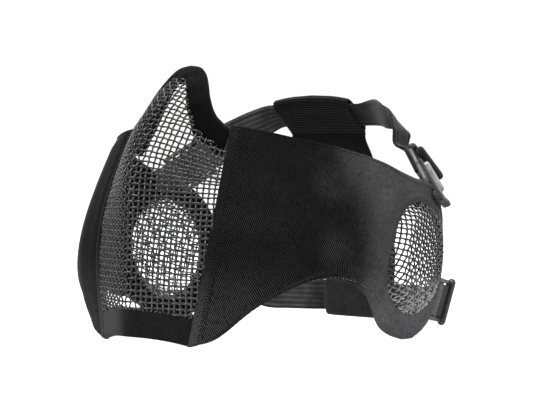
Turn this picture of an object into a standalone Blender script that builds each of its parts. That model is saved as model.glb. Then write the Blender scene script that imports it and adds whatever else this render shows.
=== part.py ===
# Mesh lower face mask: a wire mesh front, padded cloth cheeks with ear cups, and an elastic harness.
# Metres, +Z up. The front of the mask looks towards -Y and the wearer's left ear towards +X.
# The origin is the middle of the footprint, on the surface that the chin and the ear cups stand on.

import math

import bmesh
import bpy
import numpy as np
from mathutils import Matrix, Vector
from mathutils.bvhtree import BVHTree

# Driving dimensions of the face part
CHEEK_HEIGHT = 0.1113       # seam between the wire mesh and the cheek, chin to its top corner
NOSE_RISE = 0.0331          # peak of the nose arch above that corner
CHIN_HALF = 0.0302          # half the width between the two seams at the chin
BRIDGE_HALF = 0.0340        # half the width between the two seams at their top corners
FACE_DEPTH = 0.1067         # from the seam at the chin back to the middle of the ear
BRIDGE_SETBACK = 0.0277     # how far the seam's top corner lies behind its foot
SEAM_BOW = 0.0098           # how far the seam bows forwards and outwards between its ends
CHEEK_BOW = 0.0095          # how far the cheek bows out between its lower and upper edges
PROW_REACH = 0.0133         # ridge of the wire mesh ahead of the seam at the chin
NOSE_LEAN = 0.0485          # how far the ridge leans back by the nose peak
CHIN_ARCH = 0.0040          # lower edge's rise at the middle of the chin

# Driving dimensions of the ear cups
EAR_HALF = 0.0920           # half the width between the middles of the two ear cups
LOBE_TUCK = 0.0055          # lower edge of the cup nearer to the neck than its middle
CROWN_FLARE = 0.0020        # upper edge of the cup further out than its middle
CUP_HEIGHT = 0.0835
CUP_REACH = 0.0370          # rear end of the cup behind the middle of the ear
LOBE_TURN = 0.0045          # how far the lower edge turns in by the rear end
CROWN_TURN = 0.0140         # how far the upper edge turns in by the rear end
EAR_HOLE_LENGTH = 0.0530
EAR_HOLE_HEIGHT = 0.0600
EAR_HOLE_RAISE = 0.0008     # middle of the hole above the middle of the cup
EAR_DOME = 0.0072           # how far the ear's wire mesh bulges beyond the cloth
EAR_DOME_POWER = 2.0        # over 1 gives the bulge steep sides and a flat top

# Cloth, trim and wire
CLOTH = 0.0022
HEM_WIDTH = 0.0070
HEM_THICKNESS = 0.0030
BINDING_HEIGHT = 0.0153
BINDING_THICKNESS = 0.0030
TRIM_WIDTH = 0.0130
TRIM_THICKNESS = 0.0046     # of the nose trim at its peak
TRIM_PAD = 0.0105           # of its padding towards the two corners
TRIM_PAD_SPREAD = 0.80      # share of the way from the peak to a corner where that is reached
TRIM_PROUD = 0.0014         # how far the nose trim stands proud of the wire mesh
NET_BAR = 0.0016
CLEARANCE = 0.0003          # gap that pieces keep to what they are sewn to

# Harness
STRAP_WIDTH = 0.0180
STRAP_THICKNESS = 0.0016
BAND_WIDTH = 0.0490
BAND_THICKNESS = 0.0018
BAND_POCKET = 0.0230        # depth of the sewn pockets that hold the straps
POCKET_SLACK = 0.0006       # gap between a strap and the pocket that it slides in
POCKET_LEAD = 0.0029        # straight stretch of strap on each side of a pocket
UPPER_BACK = 0.0487         # upper strap's rearmost middle line behind the middle of the ear
UPPER_RISE = 0.1207         # its height there
LOWER_BACK = 0.0745         # the same for the lower strap
LOWER_RISE = 0.0132
TAB_WIDTH = 0.0175
TAB_THICKNESS = 0.0014
TAB_ROOT = 0.0080           # how deep the tab is sewn into the cup
TAB_CLEARANCE = 0.0006      # between a tab and the cloth that it lies on
STRAP_CLEARANCE = 0.0006    # between a strap and its buckle
BUCKLE_LENGTH = 0.0260
BUCKLE_WIDTH = 0.0240
BUCKLE_THICKNESS = 0.0028
BUCKLE_BAR = 0.0034
BUCKLE_RAIL = 0.0024
BUCKLE_LIP = 0.0024         # how far the end bar's thumb lip rises
BUCKLE_STANDOFF = 0.0025    # between the cup's edge and the buckle

# Grids: how finely the cloth is divided
NET_COLUMNS = 8
NET_ROWS = 10
EAR_NET_CELLS = 4
CHEEK_COLUMNS = 26
CHEEK_LEVELS = 10
SEAM_LEVELS = 14
EDGE_POINTS = 60            # along the curves that the wire front is fitted between
HOLE_SIDES = 32
BINDING_COLUMNS = 24
BINDING_LEVELS = 3
TRIM_POINTS = 17            # along half of the nose arch
TRIM_ROWS = 4
STRAP_POINTS = 65
BAND_POINTS = 97

# Sections of the cheek, from the seam back to the middle of the ear. "out" is a share of the way
# from the chin's (or bridge's) half width to the cup's, "back" of the depth to the ear, "up" of
# CHEEK_HEIGHT. "bow" is a share of CHEEK_BOW, "low_bow" pulls its fullest point down when under 1,
# and "facing" is the way that the section bows, in degrees from straight ahead to the side.
CHEEK_SECTIONS = [
    dict(low_out=0.00, low_back=0.00, low_up=0.00, top_out=0.00, top_back=0.00, top_up=1.00,
         bow=1.00, low_bow=1.15, facing=45),
    dict(low_out=0.24, low_back=0.06, low_up=0.04, top_out=0.21, top_back=0.03, top_up=0.985,
         bow=0.98, low_bow=0.90, facing=34),
    dict(low_out=0.49, low_back=0.15, low_up=0.168, top_out=0.43, top_back=0.11, top_up=0.96,
         bow=1.02, low_bow=0.70, facing=38),
    dict(low_out=0.68, low_back=0.26, low_up=0.256, top_out=0.63, top_back=0.27, top_up=0.925,
         bow=1.00, low_bow=0.58, facing=50),
    dict(low_out=0.79, low_back=0.38, low_up=0.298, top_out=0.77, top_back=0.40, top_up=0.90,
         bow=1.00, low_bow=0.62, facing=62),
    dict(low_out=0.86, low_back=0.52, low_up=0.298, top_out=0.88, top_back=0.56, top_up=0.868,
         bow=1.05, low_bow=0.75, facing=72),
    dict(low_out=0.90, low_back=0.69, low_up=0.232, top_out=0.966, top_back=0.72, top_up=0.828,
         bow=1.05, low_bow=0.85, facing=80),
    dict(low_out=0.912, low_back=0.81, low_up=0.066, top_out=1.01, top_back=0.86, top_up=0.785,
         bow=0.85, low_bow=1.00, facing=86),
]
# How far the right cheek's lower edge hangs below the left one's, at each section and behind them
RIGHT_SAG = [0.0, 0.0, 0.0, 0.0085, 0.0120, 0.0150, 0.0140, 0.0030, 0.0, 0.0, 0.0, 0.0, 0.0, 0.0]
CUP_TURNS = [0, 16, 32, 48, 64, 80]             # degrees round the cup's rear half
CUP_BOWS = [0.62, 0.48, 0.36, 0.26, 0.18, 0.12]  # shares of CHEEK_BOW

# Ridge of the wire mesh: "up" is a share of the height to the nose peak, "back" of NOSE_LEAN, and
# "round" is how soft the ridge is, as a share of the half width there.
RIDGE = [
    dict(up=0.000, back=0.000, round=0.20),
    dict(up=0.150, back=0.006, round=0.20),
    dict(up=0.335, back=0.030, round=0.20),
    dict(up=0.450, back=0.042, round=0.22),
    dict(up=0.540, back=0.058, round=0.26),
    dict(up=0.600, back=0.082, round=0.31),
    dict(up=0.650, back=0.125, round=0.37),
    dict(up=0.705, back=0.203, round=0.44),
    dict(up=0.765, back=0.310, round=0.51),
    dict(up=0.805, back=0.380, round=0.55),
    dict(up=0.850, back=0.480, round=0.60),
    dict(up=0.900, back=0.635, round=0.64),
    dict(up=0.946, back=0.800, round=0.65),
    dict(up=1.000, back=1.000, round=0.65),
]

# Nose arch from the seam's top corner to the peak: "out" is a share of BRIDGE_HALF, "back" of the
# way to the peak's depth, "up" of NOSE_RISE. "in_out" and "in_up" are the way across the trim in
# front view, as shares of TRIM_WIDTH.
NOSE_ARCH = [
    dict(out=1.000, back=0.00, up=0.00, in_out=0.13, in_up=-1.01),
    dict(out=0.930, back=0.00, up=0.05, in_out=-0.06, in_up=-0.86),
    dict(out=0.865, back=0.00, up=0.11, in_out=-0.22, in_up=-0.72),
    dict(out=0.780, back=0.00, up=0.18, in_out=-0.36, in_up=-0.55),
    dict(out=0.690, back=0.02, up=0.29, in_out=-0.46, in_up=-0.36),
    dict(out=0.620, back=0.10, up=0.41, in_out=-0.50, in_up=-0.33),
    dict(out=0.550, back=0.25, up=0.53, in_out=-0.50, in_up=-0.34),
    dict(out=0.485, back=0.44, up=0.65, in_out=-0.51, in_up=-0.34),
    dict(out=0.410, back=0.66, up=0.77, in_out=-0.49, in_up=-0.38),
    dict(out=0.320, back=0.86, up=0.88, in_out=-0.42, in_up=-0.46),
    dict(out=0.190, back=0.97, up=0.97, in_out=-0.26, in_up=-0.60),
    dict(out=0.000, back=1.00, up=1.00, in_out=0.00, in_up=-0.65),
]

# Middle line of the straps between a buckle and the back: "out" is a share of EAR_HALF, "back" of
# the strap's rearmost depth and "up" of its height there. The edge columns point to its upper edge.
UPPER_ROUTE_LEFT = [
    dict(out=0.690, back=0.55, up=0.840, edge_out=0.18, edge_back=-0.96, edge_up=0.22),
    dict(out=0.676, back=0.58, up=0.910, edge_out=0.12, edge_back=-0.98, edge_up=0.10),
    dict(out=0.618, back=0.64, up=0.958, edge_out=0.26, edge_back=-0.86, edge_up=0.38),
    dict(out=0.500, back=0.74, up=0.985, edge_out=0.28, edge_back=-0.70, edge_up=0.62),
]
UPPER_ROUTE_RIGHT = [
    dict(out=0.783, back=0.565, up=0.874, edge_out=0.14, edge_back=-0.22, edge_up=0.96),
    dict(out=0.663, back=0.680, up=0.928, edge_out=0.20, edge_back=-0.42, edge_up=0.88),
    dict(out=0.538, back=0.790, up=0.972, edge_out=0.26, edge_back=-0.62, edge_up=0.74),
]
LOWER_ROUTE = [
    dict(out=0.690, back=0.79, up=1.04, edge_out=0.06, edge_back=0.06, edge_up=1.00),
    dict(out=0.560, back=0.87, up=1.00, edge_out=0.02, edge_back=0.02, edge_up=1.00),
    dict(out=0.400, back=0.950, up=1.00, edge_out=0.00, edge_back=0.00, edge_up=1.00),
]

# Wide back band between its two pockets: "back" is a share of the way from the upper strap's depth
# to the lower one's, "up" of the way from the lower strap's height to the upper one's.
BAND_LINE = [
    dict(back=0.33, up=0.885),
    dict(back=0.52, up=0.79),
    dict(back=0.78, up=0.64),
    dict(back=1.05, up=0.45),
    dict(back=1.13, up=0.28),
    dict(back=1.10, up=0.17),
]
BAND_SHIFT = 0.0138         # band's middle off the centre line at the upper strap, to the right
BAND_FOOT_SHIFT = 0.0040    # the same at the lower strap
BAND_SLANT = 12             # degrees that the upper strap turns from straight across, in the pocket

# Buckles: place on the cup's rear edge, and the way that they point from it
UPPER_TURN_LEFT = 38        # degrees round the cup's rear half
UPPER_TURN_RIGHT = 0
UPPER_POINT_LEFT = (-0.62, 0.20, 0.75)
UPPER_FACE_LEFT = (0.72, 0.42, 0.48)
UPPER_POINT_RIGHT = (-0.34, 0.72, 0.48)         # as seen in a mirror, as are the right-hand routes
UPPER_FACE_RIGHT = (0.84, 0.54, 0.00)
LOWER_TURN = 57
LOWER_POINT = (-0.25, 0.95, -0.17)
LOWER_FACE = (0.87, 0.38, -0.23)

CLOTH_BLACK = (0.020, 0.020, 0.022, 1.0)
TRIM_BLACK = (0.012, 0.012, 0.013, 1.0)
ELASTIC_BLACK = (0.028, 0.028, 0.030, 1.0)
WIRE_BLACK = (0.018, 0.018, 0.020, 1.0)
PLASTIC_GREY = (0.055, 0.055, 0.058, 1.0)


def make_material(name, colour, roughness, metallic=0.0):
    material = bpy.data.materials.new(name)
    material.use_nodes = True
    shader = material.node_tree.nodes["Principled BSDF"]
    shader.inputs["Base Color"].default_value = colour
    shader.inputs["Roughness"].default_value = roughness
    shader.inputs["Metallic"].default_value = metallic
    return material


def unit(vector):
    return vector / np.linalg.norm(vector)


def column(rows, name):
    return np.array([row[name] for row in rows], float)


def curve_through(values, places, knots=None):
    """Smooth curve through rows of values, read at places along the knots (Hermite form).

    Without knots the places count rows.
    """
    values = np.asarray(values, float)
    knots = np.arange(len(values), dtype=float) if knots is None else knots
    places = np.clip(np.asarray(places, float), knots[0], knots[-1])
    slopes = np.gradient(values, knots, axis=0)
    low = np.clip(np.searchsorted(knots, places, side="right") - 1, 0, len(values) - 2)
    step = (knots[low + 1] - knots[low])[..., None]
    f = (places - knots[low])[..., None] / step
    rise = values[low + 1] - values[low]
    leave, arrive = slopes[low] * step, slopes[low + 1] * step
    return (values[low] + f * leave
            + f**2 * (3 * rise - 2 * leave - arrive)
            + f**3 * (leave + arrive - 2 * rise))


def distances(points):
    """Distance along a line of points, from its first point."""
    steps = np.linalg.norm(np.diff(points, axis=0), axis=1)
    return np.concatenate([[0.0], np.cumsum(steps)])


# Surfaces of the cheek and of the wire front

def cheek_rows():
    """Lower point, upper point, bow, its skew and its facing for each section of the cheek."""
    rows = []
    for row in CHEEK_SECTIONS:
        low = (CHIN_HALF + (EAR_HALF - CHIN_HALF) * row["low_out"],
               -FACE_DEPTH * (1 - row["low_back"]), CHEEK_HEIGHT * row["low_up"])
        top = (BRIDGE_HALF + (EAR_HALF - BRIDGE_HALF) * row["top_out"],
               (BRIDGE_SETBACK - FACE_DEPTH) * (1 - row["top_back"]), CHEEK_HEIGHT * row["top_up"])
        bow = SEAM_BOW if row is CHEEK_SECTIONS[0] else CHEEK_BOW
        rows.append([*low, *top, row["bow"] * bow, row["low_bow"], math.radians(row["facing"])])
    for turn, bow in zip(CUP_TURNS, CUP_BOWS):
        back = CUP_REACH * math.sin(math.radians(turn))
        tall = CUP_HEIGHT / 2 * math.cos(math.radians(turn))
        turned = 1 - math.cos(math.radians(turn))
        low = (EAR_HALF - LOBE_TUCK - LOBE_TURN * turned, back, CUP_HEIGHT / 2 - tall)
        top = (EAR_HALF + CROWN_FLARE - CROWN_TURN * turned, back, CUP_HEIGHT / 2 + tall)
        rows.append([*low, *top, bow * CHEEK_BOW, 1.0, math.radians(90 + turn / 4)])
    return np.array(rows)


CHEEK_TABLE = cheek_rows()
EAR_ROW = len(CHEEK_SECTIONS)               # the row at the middle of the ear
LAST_ROW = len(CHEEK_TABLE) - 1
EAR_HOLE_MIDDLE = CUP_HEIGHT / 2 + EAR_HOLE_RAISE


def cheek(place, level):
    """Outer face of the left cheek: place counts sections from the seam, level runs 0 to 1 upwards."""
    place, level = np.broadcast_arrays(np.asarray(place, float), np.asarray(level, float))
    row = curve_through(CHEEK_TABLE, place)
    low, top, bow, skew, facing = row[..., 0:3], row[..., 3:6], row[..., 6], row[..., 7], row[..., 8]
    point = low + (top - low) * level[..., None]
    out = bow * np.sin(math.pi * np.clip(level, 0, 1)**skew)
    point[..., 0] += out * np.sin(facing)
    point[..., 1] -= out * np.cos(facing)
    return point


def cheek_normal(place, level):
    step = 0.02
    along = cheek(place + step, level) - cheek(place - step, level)
    up = cheek(place, level + step) - cheek(place, level - step)
    return unit(np.cross(along, up))


def hem_place(level):
    """Place of the hem line: HEM_WIDTH back from the seam at this level."""
    first = np.linalg.norm(cheek(1, level) - cheek(0, level), axis=-1)
    return HEM_WIDTH / first


PEAK_HEIGHT = CHEEK_HEIGHT + NOSE_RISE
CORNER = cheek(0, 1)
PEAK_BACK = NOSE_LEAN - FACE_DEPTH - PROW_REACH


def ridge_line(height):
    """Depth of the ridge at this height, and how soft it is there."""
    up = column(RIDGE, "up") * PEAK_HEIGHT
    places = np.interp(height, up, np.arange(len(up)))
    rows = curve_through(np.stack([column(RIDGE, "back"), column(RIDGE, "round")], -1), places)
    return rows[..., 0] * NOSE_LEAN - FACE_DEPTH - PROW_REACH, rows[..., 1]


def arch_points(count):
    """Outer edge of the nose arch and the front-view way across the trim, corner to peak."""
    rows = np.stack([column(NOSE_ARCH, name) for name in ("out", "back", "up", "in_out", "in_up")], -1)
    rows = curve_through(rows, np.linspace(0, len(rows) - 1, count))
    outer = np.stack([rows[:, 0] * BRIDGE_HALF,
                      CORNER[1] + rows[:, 1] * (PEAK_BACK - CORNER[1]),
                      CHEEK_HEIGHT + rows[:, 2] * NOSE_RISE], -1)
    return outer, rows[:, 3:5] * TRIM_WIDTH


def front_edge(height):
    """Half width and depth of the wire front's edge: the seam, and above it the nose arch."""
    seam = cheek(0, np.linspace(0, 1, EDGE_POINTS))
    arch = arch_points(EDGE_POINTS)[0][1:]
    edge = np.concatenate([seam, arch])
    return np.interp(height, edge[:, 2], edge[:, 0]), np.interp(height, edge[:, 2], edge[:, 1])


def front_back(across, height):
    """Depth of the wire front where it stands this far across, a rounded prow in each section."""
    half, back = front_edge(height)
    share = np.abs(across) / np.maximum(half, CLEARANCE)
    ridge, soft = ridge_line(height)
    rounded = np.sqrt(share**2 + soft**2) - soft
    full = np.sqrt(1 + soft**2) - soft
    return ridge + (back - ridge) * rounded / full


def front_point(across, height):
    return np.stack([across, front_back(across, height), height], -1)


def trim_inner(count):
    """Inner edge of the nose trim on the wire front, corner to peak."""
    outer, way = arch_points(count)
    across = np.maximum(outer[:, 0] + way[:, 0], 0)
    return front_point(across, outer[:, 2] + way[:, 1])


def chin_low(share):
    return CHIN_ARCH * (1 - share**2)


# Building blocks

def link(item, material=None):
    MASK.objects.link(item)
    if material is not None:
        item.data.materials.append(material)
    return item


def grid_object(name, grid, material, side=1):
    """Open sheet over a grid of points; the right-hand side is the left one mirrored."""
    rows, columns = grid.shape[:2]
    points = grid.reshape(-1, 3) * np.array([side, 1, 1])
    index = np.arange(rows * columns).reshape(rows, columns)
    corners = [index[:-1, :-1], index[1:, :-1], index[1:, 1:], index[:-1, 1:]]
    if side < 0:
        corners.reverse()
    faces = np.stack([corner.ravel() for corner in corners], -1)
    mesh = bpy.data.meshes.new(name)
    mesh.from_pydata(points.tolist(), [], faces.tolist())
    mesh.shade_smooth()
    return link(bpy.data.objects.new(name, mesh), material)


def thicken(item, thickness, offset=-1.0):
    solid = item.modifiers.new("Thickness", "SOLIDIFY")
    solid.thickness = thickness
    solid.offset = offset
    return item


def bar_net(item, bar):
    wire = item.modifiers.new("Bars", "WIREFRAME")
    wire.thickness = bar
    wire.use_boundary = True
    wire.use_even_offset = False
    wire.use_replace = True
    return item


def ribbon(name, route, edges, width, thickness, material, count, side=1):
    """Flat strip along a smooth route; edges points from the middle line to the upper edge."""
    knots = distances(route)
    places = np.linspace(0, knots[-1], count)
    middle = curve_through(route, places, knots)
    edge = curve_through(edges, places, knots)
    along = np.gradient(middle, axis=0)
    along /= np.linalg.norm(along, axis=1, keepdims=True)
    edge -= along * np.sum(edge * along, axis=1, keepdims=True)
    edge /= np.linalg.norm(edge, axis=1, keepdims=True)
    share = np.linspace(-0.5, 0.5, 3)[None, :, None] * width
    grid = middle[:, None, :] + edge[:, None, :] * share
    return thicken(grid_object(name, grid, material, side), thickness, 0.0)


# The sewn pieces

def build_front_mesh():
    """Coarse net over the prow: rows follow the chin binding, columns gather under the trim."""
    rim = NET_BAR / 2 + CLEARANCE
    inner = trim_inner(EDGE_POINTS)[::-1]
    order = np.argsort(inner[:, 2])
    share = np.linspace(-1, 1, NET_COLUMNS + 1)
    foot = chin_low(share) + BINDING_HEIGHT + rim
    top = inner[:, 2].max() - NET_BAR - CLEARANCE
    level = np.linspace(0, 1, NET_ROWS + 1)
    height = foot[:, None] + (top - foot[:, None]) * level[None, :]
    seam_half = front_edge(height)[0]
    trim_half = np.interp(height, inner[order, 2], inner[order, 0], left=1.0)
    half = np.maximum(np.minimum(seam_half - rim, trim_half - NET_BAR - CLEARANCE), rim)
    grid = front_point(share[:, None] * half, height)
    return bar_net(grid_object("front_mesh", grid, WIRE), NET_BAR)


def build_chin_binding():
    share = np.linspace(-1, 1, BINDING_COLUMNS + 1)
    level = np.linspace(0, 1, BINDING_LEVELS + 1)
    height = chin_low(share)[:, None] + level * (BINDING_HEIGHT - CLEARANCE)
    half = front_edge(height)[0] - CLEARANCE
    grid = front_point(share[:, None] * half, height)
    return thicken(grid_object("chin_binding", grid, CLOTH_MATERIAL), BINDING_THICKNESS)


def build_nose_trim():
    outer, _ = arch_points(TRIM_POINTS)
    inner = trim_inner(TRIM_POINTS)
    outer[0, 0] -= CLEARANCE
    inner[0, 0] -= CLEARANCE
    across = np.linspace(0, 1, TRIM_ROWS + 1)
    half = outer[:, None, :] + (inner - outer)[:, None, :] * across[None, :, None]
    whole = np.concatenate([half[:-1] * np.array([-1, 1, 1]), half[::-1]])
    along = np.gradient(whole, axis=0)
    down = np.gradient(whole, axis=1)
    normal = np.cross(down, along)
    normal /= np.linalg.norm(normal, axis=2, keepdims=True)
    crown = TRIM_PROUD * np.sin(math.pi * (0.1 + 0.8 * across))
    grid = whole + normal * crown[None, :, None]
    item = thicken(grid_object("nose_trim", grid[:, ::-1], TRIM), TRIM_PAD)
    corner = np.abs(np.linspace(-1, 1, len(whole)))
    thick = TRIM_THICKNESS + (TRIM_PAD - TRIM_THICKNESS) * np.clip(corner / TRIM_PAD_SPREAD, 0, 1)
    group = item.vertex_groups.new(name="pad")
    for index, share in enumerate(np.repeat(thick / TRIM_PAD, TRIM_ROWS + 1)):
        group.add([index], float(share), "REPLACE")
    item.modifiers["Thickness"].vertex_group = group.name
    return item


def build_hem(side, word):
    level = np.linspace(0, 1, SEAM_LEVELS)
    share = np.linspace(0, 1, 3)
    place = share[:, None] * hem_place(level) * (1 - CLEARANCE / HEM_WIDTH)
    grid = cheek(place, np.broadcast_to(level, place.shape))
    return thicken(grid_object("front_hem_" + word, grid, CLOTH_MATERIAL, side), HEM_THICKNESS)


def cheek_grid(columns, levels, sag=0.0):
    level = np.linspace(0, 1, levels + 1)
    start = hem_place(level)
    share = np.linspace(0, 1, columns + 1)
    place = start[None, :] + share[:, None] * (LAST_ROW - start)[None, :]
    grid = cheek(place, np.broadcast_to(level, place.shape))
    grid[..., 2] -= sag * np.interp(place, np.arange(len(RIGHT_SAG)), RIGHT_SAG) * (1 - level)**2
    return grid


def ear_cutter():
    bpy.ops.mesh.primitive_cylinder_add(vertices=HOLE_SIDES, radius=0.5, depth=1.0)
    cutter = bpy.context.object
    cutter.name = "ear_hole_cutter"
    place = Matrix.Translation((0, 0, EAR_HOLE_MIDDLE)) @ Matrix.Rotation(math.pi / 2, 4, "Y")
    size = Matrix.Diagonal((EAR_HOLE_HEIGHT, EAR_HOLE_LENGTH, 4 * EAR_HALF, 1.0))
    cutter.data.transform(place @ size)
    for holder in list(cutter.users_collection):
        holder.objects.unlink(cutter)
    CUTTERS.objects.link(cutter)
    cutter.hide_render = True
    cutter.display_type = "WIRE"
    return cutter


def build_cheek(side, word, cutter):
    grid = cheek_grid(CHEEK_COLUMNS, CHEEK_LEVELS, sag=1.0 if side < 0 else 0.0)
    item = thicken(grid_object("cheek_" + word, grid, CLOTH_MATERIAL, side), CLOTH)
    cut = item.modifiers.new("Ear hole", "BOOLEAN")
    cut.operation = "DIFFERENCE"
    cut.object = cutter
    return item


def build_ear_mesh(side, word):
    """Domed net in the ear hole, its square cells on the bias, seated in the hole's edge."""
    sheet = cheek_grid(CHEEK_COLUMNS, CHEEK_LEVELS)
    rows, columns = sheet.shape[:2]
    index = np.arange(rows * columns).reshape(rows, columns)
    corners = [index[:-1, :-1], index[1:, :-1], index[1:, 1:], index[:-1, 1:]]
    faces = np.stack([corner.ravel() for corner in corners], -1)
    tree = BVHTree.FromPolygons(sheet.reshape(-1, 3).tolist(), faces.tolist())
    flats = math.cos(math.pi / HOLE_SIDES)
    rim = NET_BAR / 2 + CLEARANCE
    cell = np.linspace(-1, 1, EAR_NET_CELLS + 1)
    first, second = np.meshgrid(cell, cell, indexing="ij")
    disc_a = first * np.sqrt(1 - second**2 / 2)
    disc_b = second * np.sqrt(1 - first**2 / 2)
    bias = math.sqrt(0.5)
    back = (disc_a - disc_b) * bias * (EAR_HOLE_LENGTH / 2 * flats - rim)
    height = (disc_a + disc_b) * bias * (EAR_HOLE_HEIGHT / 2 * flats - rim) + EAR_HOLE_MIDDLE
    dome = EAR_DOME * (1 - (disc_a**2 + disc_b**2)**EAR_DOME_POWER)
    grid = np.zeros(first.shape + (3,))
    for i, j in np.ndindex(first.shape):
        start = Vector((2 * EAR_HALF, back[i, j], height[i, j]))
        hit = tree.ray_cast(start, Vector((-1, 0, 0)))[0]
        grid[i, j] = (hit.x - CLOTH / 2 + dome[i, j], back[i, j], height[i, j])
    return bar_net(grid_object("ear_mesh_" + word, grid, WIRE, side), NET_BAR)


# Buckles, tabs, straps and the back band

def buckle_mesh():
    """Ladder buckle lying flat: tab end at -Y, thumb lip at +Y, outer face up."""
    plate = bmesh.new()
    bmesh.ops.create_cube(plate, size=1.0)
    bmesh.ops.scale(plate, vec=(BUCKLE_WIDTH, BUCKLE_LENGTH, BUCKLE_THICKNESS), verts=plate.verts)
    body_mesh = bpy.data.meshes.new("buckle_plate")
    plate.to_mesh(body_mesh)
    plate.free()
    body = bpy.data.objects.new("buckle_plate", body_mesh)
    CUTTERS.objects.link(body)
    window = (BUCKLE_LENGTH - 3 * BUCKLE_BAR) / 2
    extras = []
    for sign in (-1, 1):
        middle = sign * (window + BUCKLE_BAR) / 2
        extras.append(("DIFFERENCE", (0, middle, 0),
                       (BUCKLE_WIDTH - 2 * BUCKLE_RAIL, window, 4 * BUCKLE_THICKNESS)))
    lip_middle = (BUCKLE_LENGTH - BUCKLE_BAR) / 2
    extras.append(("UNION", (0, lip_middle, BUCKLE_LIP / 2),
                   (BUCKLE_WIDTH, BUCKLE_BAR, BUCKLE_THICKNESS + BUCKLE_LIP)))
    tools = []
    for operation, place, size in extras:
        tool_mesh = bpy.data.meshes.new("buckle_tool")
        shape = bmesh.new()
        bmesh.ops.create_cube(shape, size=1.0)
        bmesh.ops.scale(shape, vec=size, verts=shape.verts)
        bmesh.ops.translate(shape, vec=place, verts=shape.verts)
        shape.to_mesh(tool_mesh)
        shape.free()
        tool = bpy.data.objects.new("buckle_tool", tool_mesh)
        CUTTERS.objects.link(tool)
        tools.append(tool)
        cut = body.modifiers.new("Cut", "BOOLEAN")
        cut.operation = operation
        cut.object = tool
    soften = body.modifiers.new("Edges", "BEVEL")
    soften.width = BUCKLE_RAIL / 5
    soften.segments = 1
    soften.limit_method = "ANGLE"
    depsgraph = bpy.context.evaluated_depsgraph_get()
    mesh = bpy.data.meshes.new_from_object(body.evaluated_get(depsgraph))
    for item in [body, *tools]:
        bpy.data.objects.remove(item)
    return mesh


def inner_face(place, level):
    """Middle of a tab that lies on the inner side of the cheek's cloth."""
    inset = CLOTH + TAB_CLEARANCE + TAB_THICKNESS / 2
    return cheek(place, level) - cheek_normal(place, level) * inset


def buckle_frame(turn, level, point, face, layer):
    """Where a left tab leaves the cup's edge, and the buckle's own axes there.

    The buckle lies over its tab where layer is 1, and on the tab's inner side where it is -1.
    """
    place = EAR_ROW + turn / (CUP_TURNS[1] - CUP_TURNS[0])
    edge = inner_face(place, level)
    along = unit(np.array(point, float))
    face = np.array(face, float)
    face = unit(face - along * face.dot(along))
    reach = BUCKLE_STANDOFF + BUCKLE_LENGTH / 2
    lift = TAB_THICKNESS / 2 + CLEARANCE + BUCKLE_THICKNESS / 2
    return dict(place=place, level=level, edge=edge, along=along, face=face,
                across=np.cross(along, face), middle=edge + along * reach + face * lift * layer)


def place_buckle(name, mesh, frame, side):
    flip = np.array([side, 1, 1])
    along, face = frame["along"] * flip, frame["face"] * flip
    axes = zip(np.cross(along, face), along, face)
    item = bpy.data.objects.new(name, mesh)
    item.matrix_world = (Matrix.Translation(Vector(frame["middle"] * flip))
                         @ Matrix([list(axis) for axis in axes]).to_4x4())
    return link(item)


def build_tab(name, frame, side):
    """Webbing tab: a root that follows the cup's inner side, then flat to the buckle's middle."""
    place, level, along = frame["place"], frame["level"], frame["along"]
    step = 0.1
    rim = cheek(place + step, level) - cheek(place - step, level)
    spread = 2 * step * TAB_WIDTH / np.linalg.norm(rim)
    across = frame["across"] * np.sign(frame["across"].dot(rim))
    tall = np.linalg.norm(cheek(place, 1.0) - cheek(place, 0.0))
    inward = -TAB_ROOT / tall if level > 0.5 else TAB_ROOT / tall
    share = np.linspace(-0.5, 0.5, 5)
    rows = []
    for depth in (1.0, 0.5, 0.0):
        rows.append([inner_face(place + s * spread, level + inward * depth) for s in share])
    for reach in (BUCKLE_STANDOFF, BUCKLE_STANDOFF + BUCKLE_BAR,
                  BUCKLE_STANDOFF + BUCKLE_LENGTH / 2 - BUCKLE_BAR):
        middle = frame["edge"] + along * reach
        rows.append(middle + across * share[:, None] * TAB_WIDTH)
    grid = np.array([np.array(row) for row in rows])
    return thicken(grid_object(name, grid, WEBBING, side), TAB_THICKNESS, 0.0)


def strap_half(frame, route, back, rise):
    """Middle line and upper-edge way of a strap, from under its left buckle towards the back."""
    along, face = frame["along"], frame["face"]
    under = frame["middle"] - face * (BUCKLE_THICKNESS / 2 + STRAP_CLEARANCE + STRAP_THICKNESS / 2)
    upward = -frame["across"]
    points = [under + along * reach for reach in (
        -BUCKLE_BAR / 2, BUCKLE_LENGTH / 4, BUCKLE_LENGTH / 2, BUCKLE_LENGTH / 2 + STRAP_THICKNESS)]
    edges = [upward] * len(points)
    for row in route:
        points.append(np.array([row["out"] * EAR_HALF, row["back"] * back, row["up"] * rise]))
        edges.append(np.array([row["edge_out"], row["edge_back"], row["edge_up"]]))
    return np.array(points), np.array(edges)


def build_strap(name, frames, routes, back, rise, slant, shift):
    """Whole strap from the left buckle round the back to the right one."""
    left_points, left_edges = strap_half(frames[0], routes[0], back, rise)
    right_points, right_edges = strap_half(frames[1], routes[1], back, rise)
    mirror = np.array([-1, 1, 1])
    turn = math.radians(slant)
    half = BAND_WIDTH / 2
    across = np.array([math.cos(turn), math.sin(turn), 0])
    centre = np.array([-shift, back, rise])
    last = left_edges[-1] * np.array([0, 1, 1])
    steps = np.array([half + POCKET_LEAD, half, half / 2, 0, -half / 2, -half, -half - POCKET_LEAD])
    middle_points = centre + across * steps[:, None]
    points = np.concatenate([left_points, middle_points, (right_points * mirror)[::-1]])
    middle_edges = np.repeat(last[None, :], len(steps), 0)
    edges = np.concatenate([left_edges, middle_edges, (right_edges * mirror)[::-1]])
    return ribbon(name, points, edges, STRAP_WIDTH, STRAP_THICKNESS, ELASTIC, STRAP_POINTS)


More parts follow.
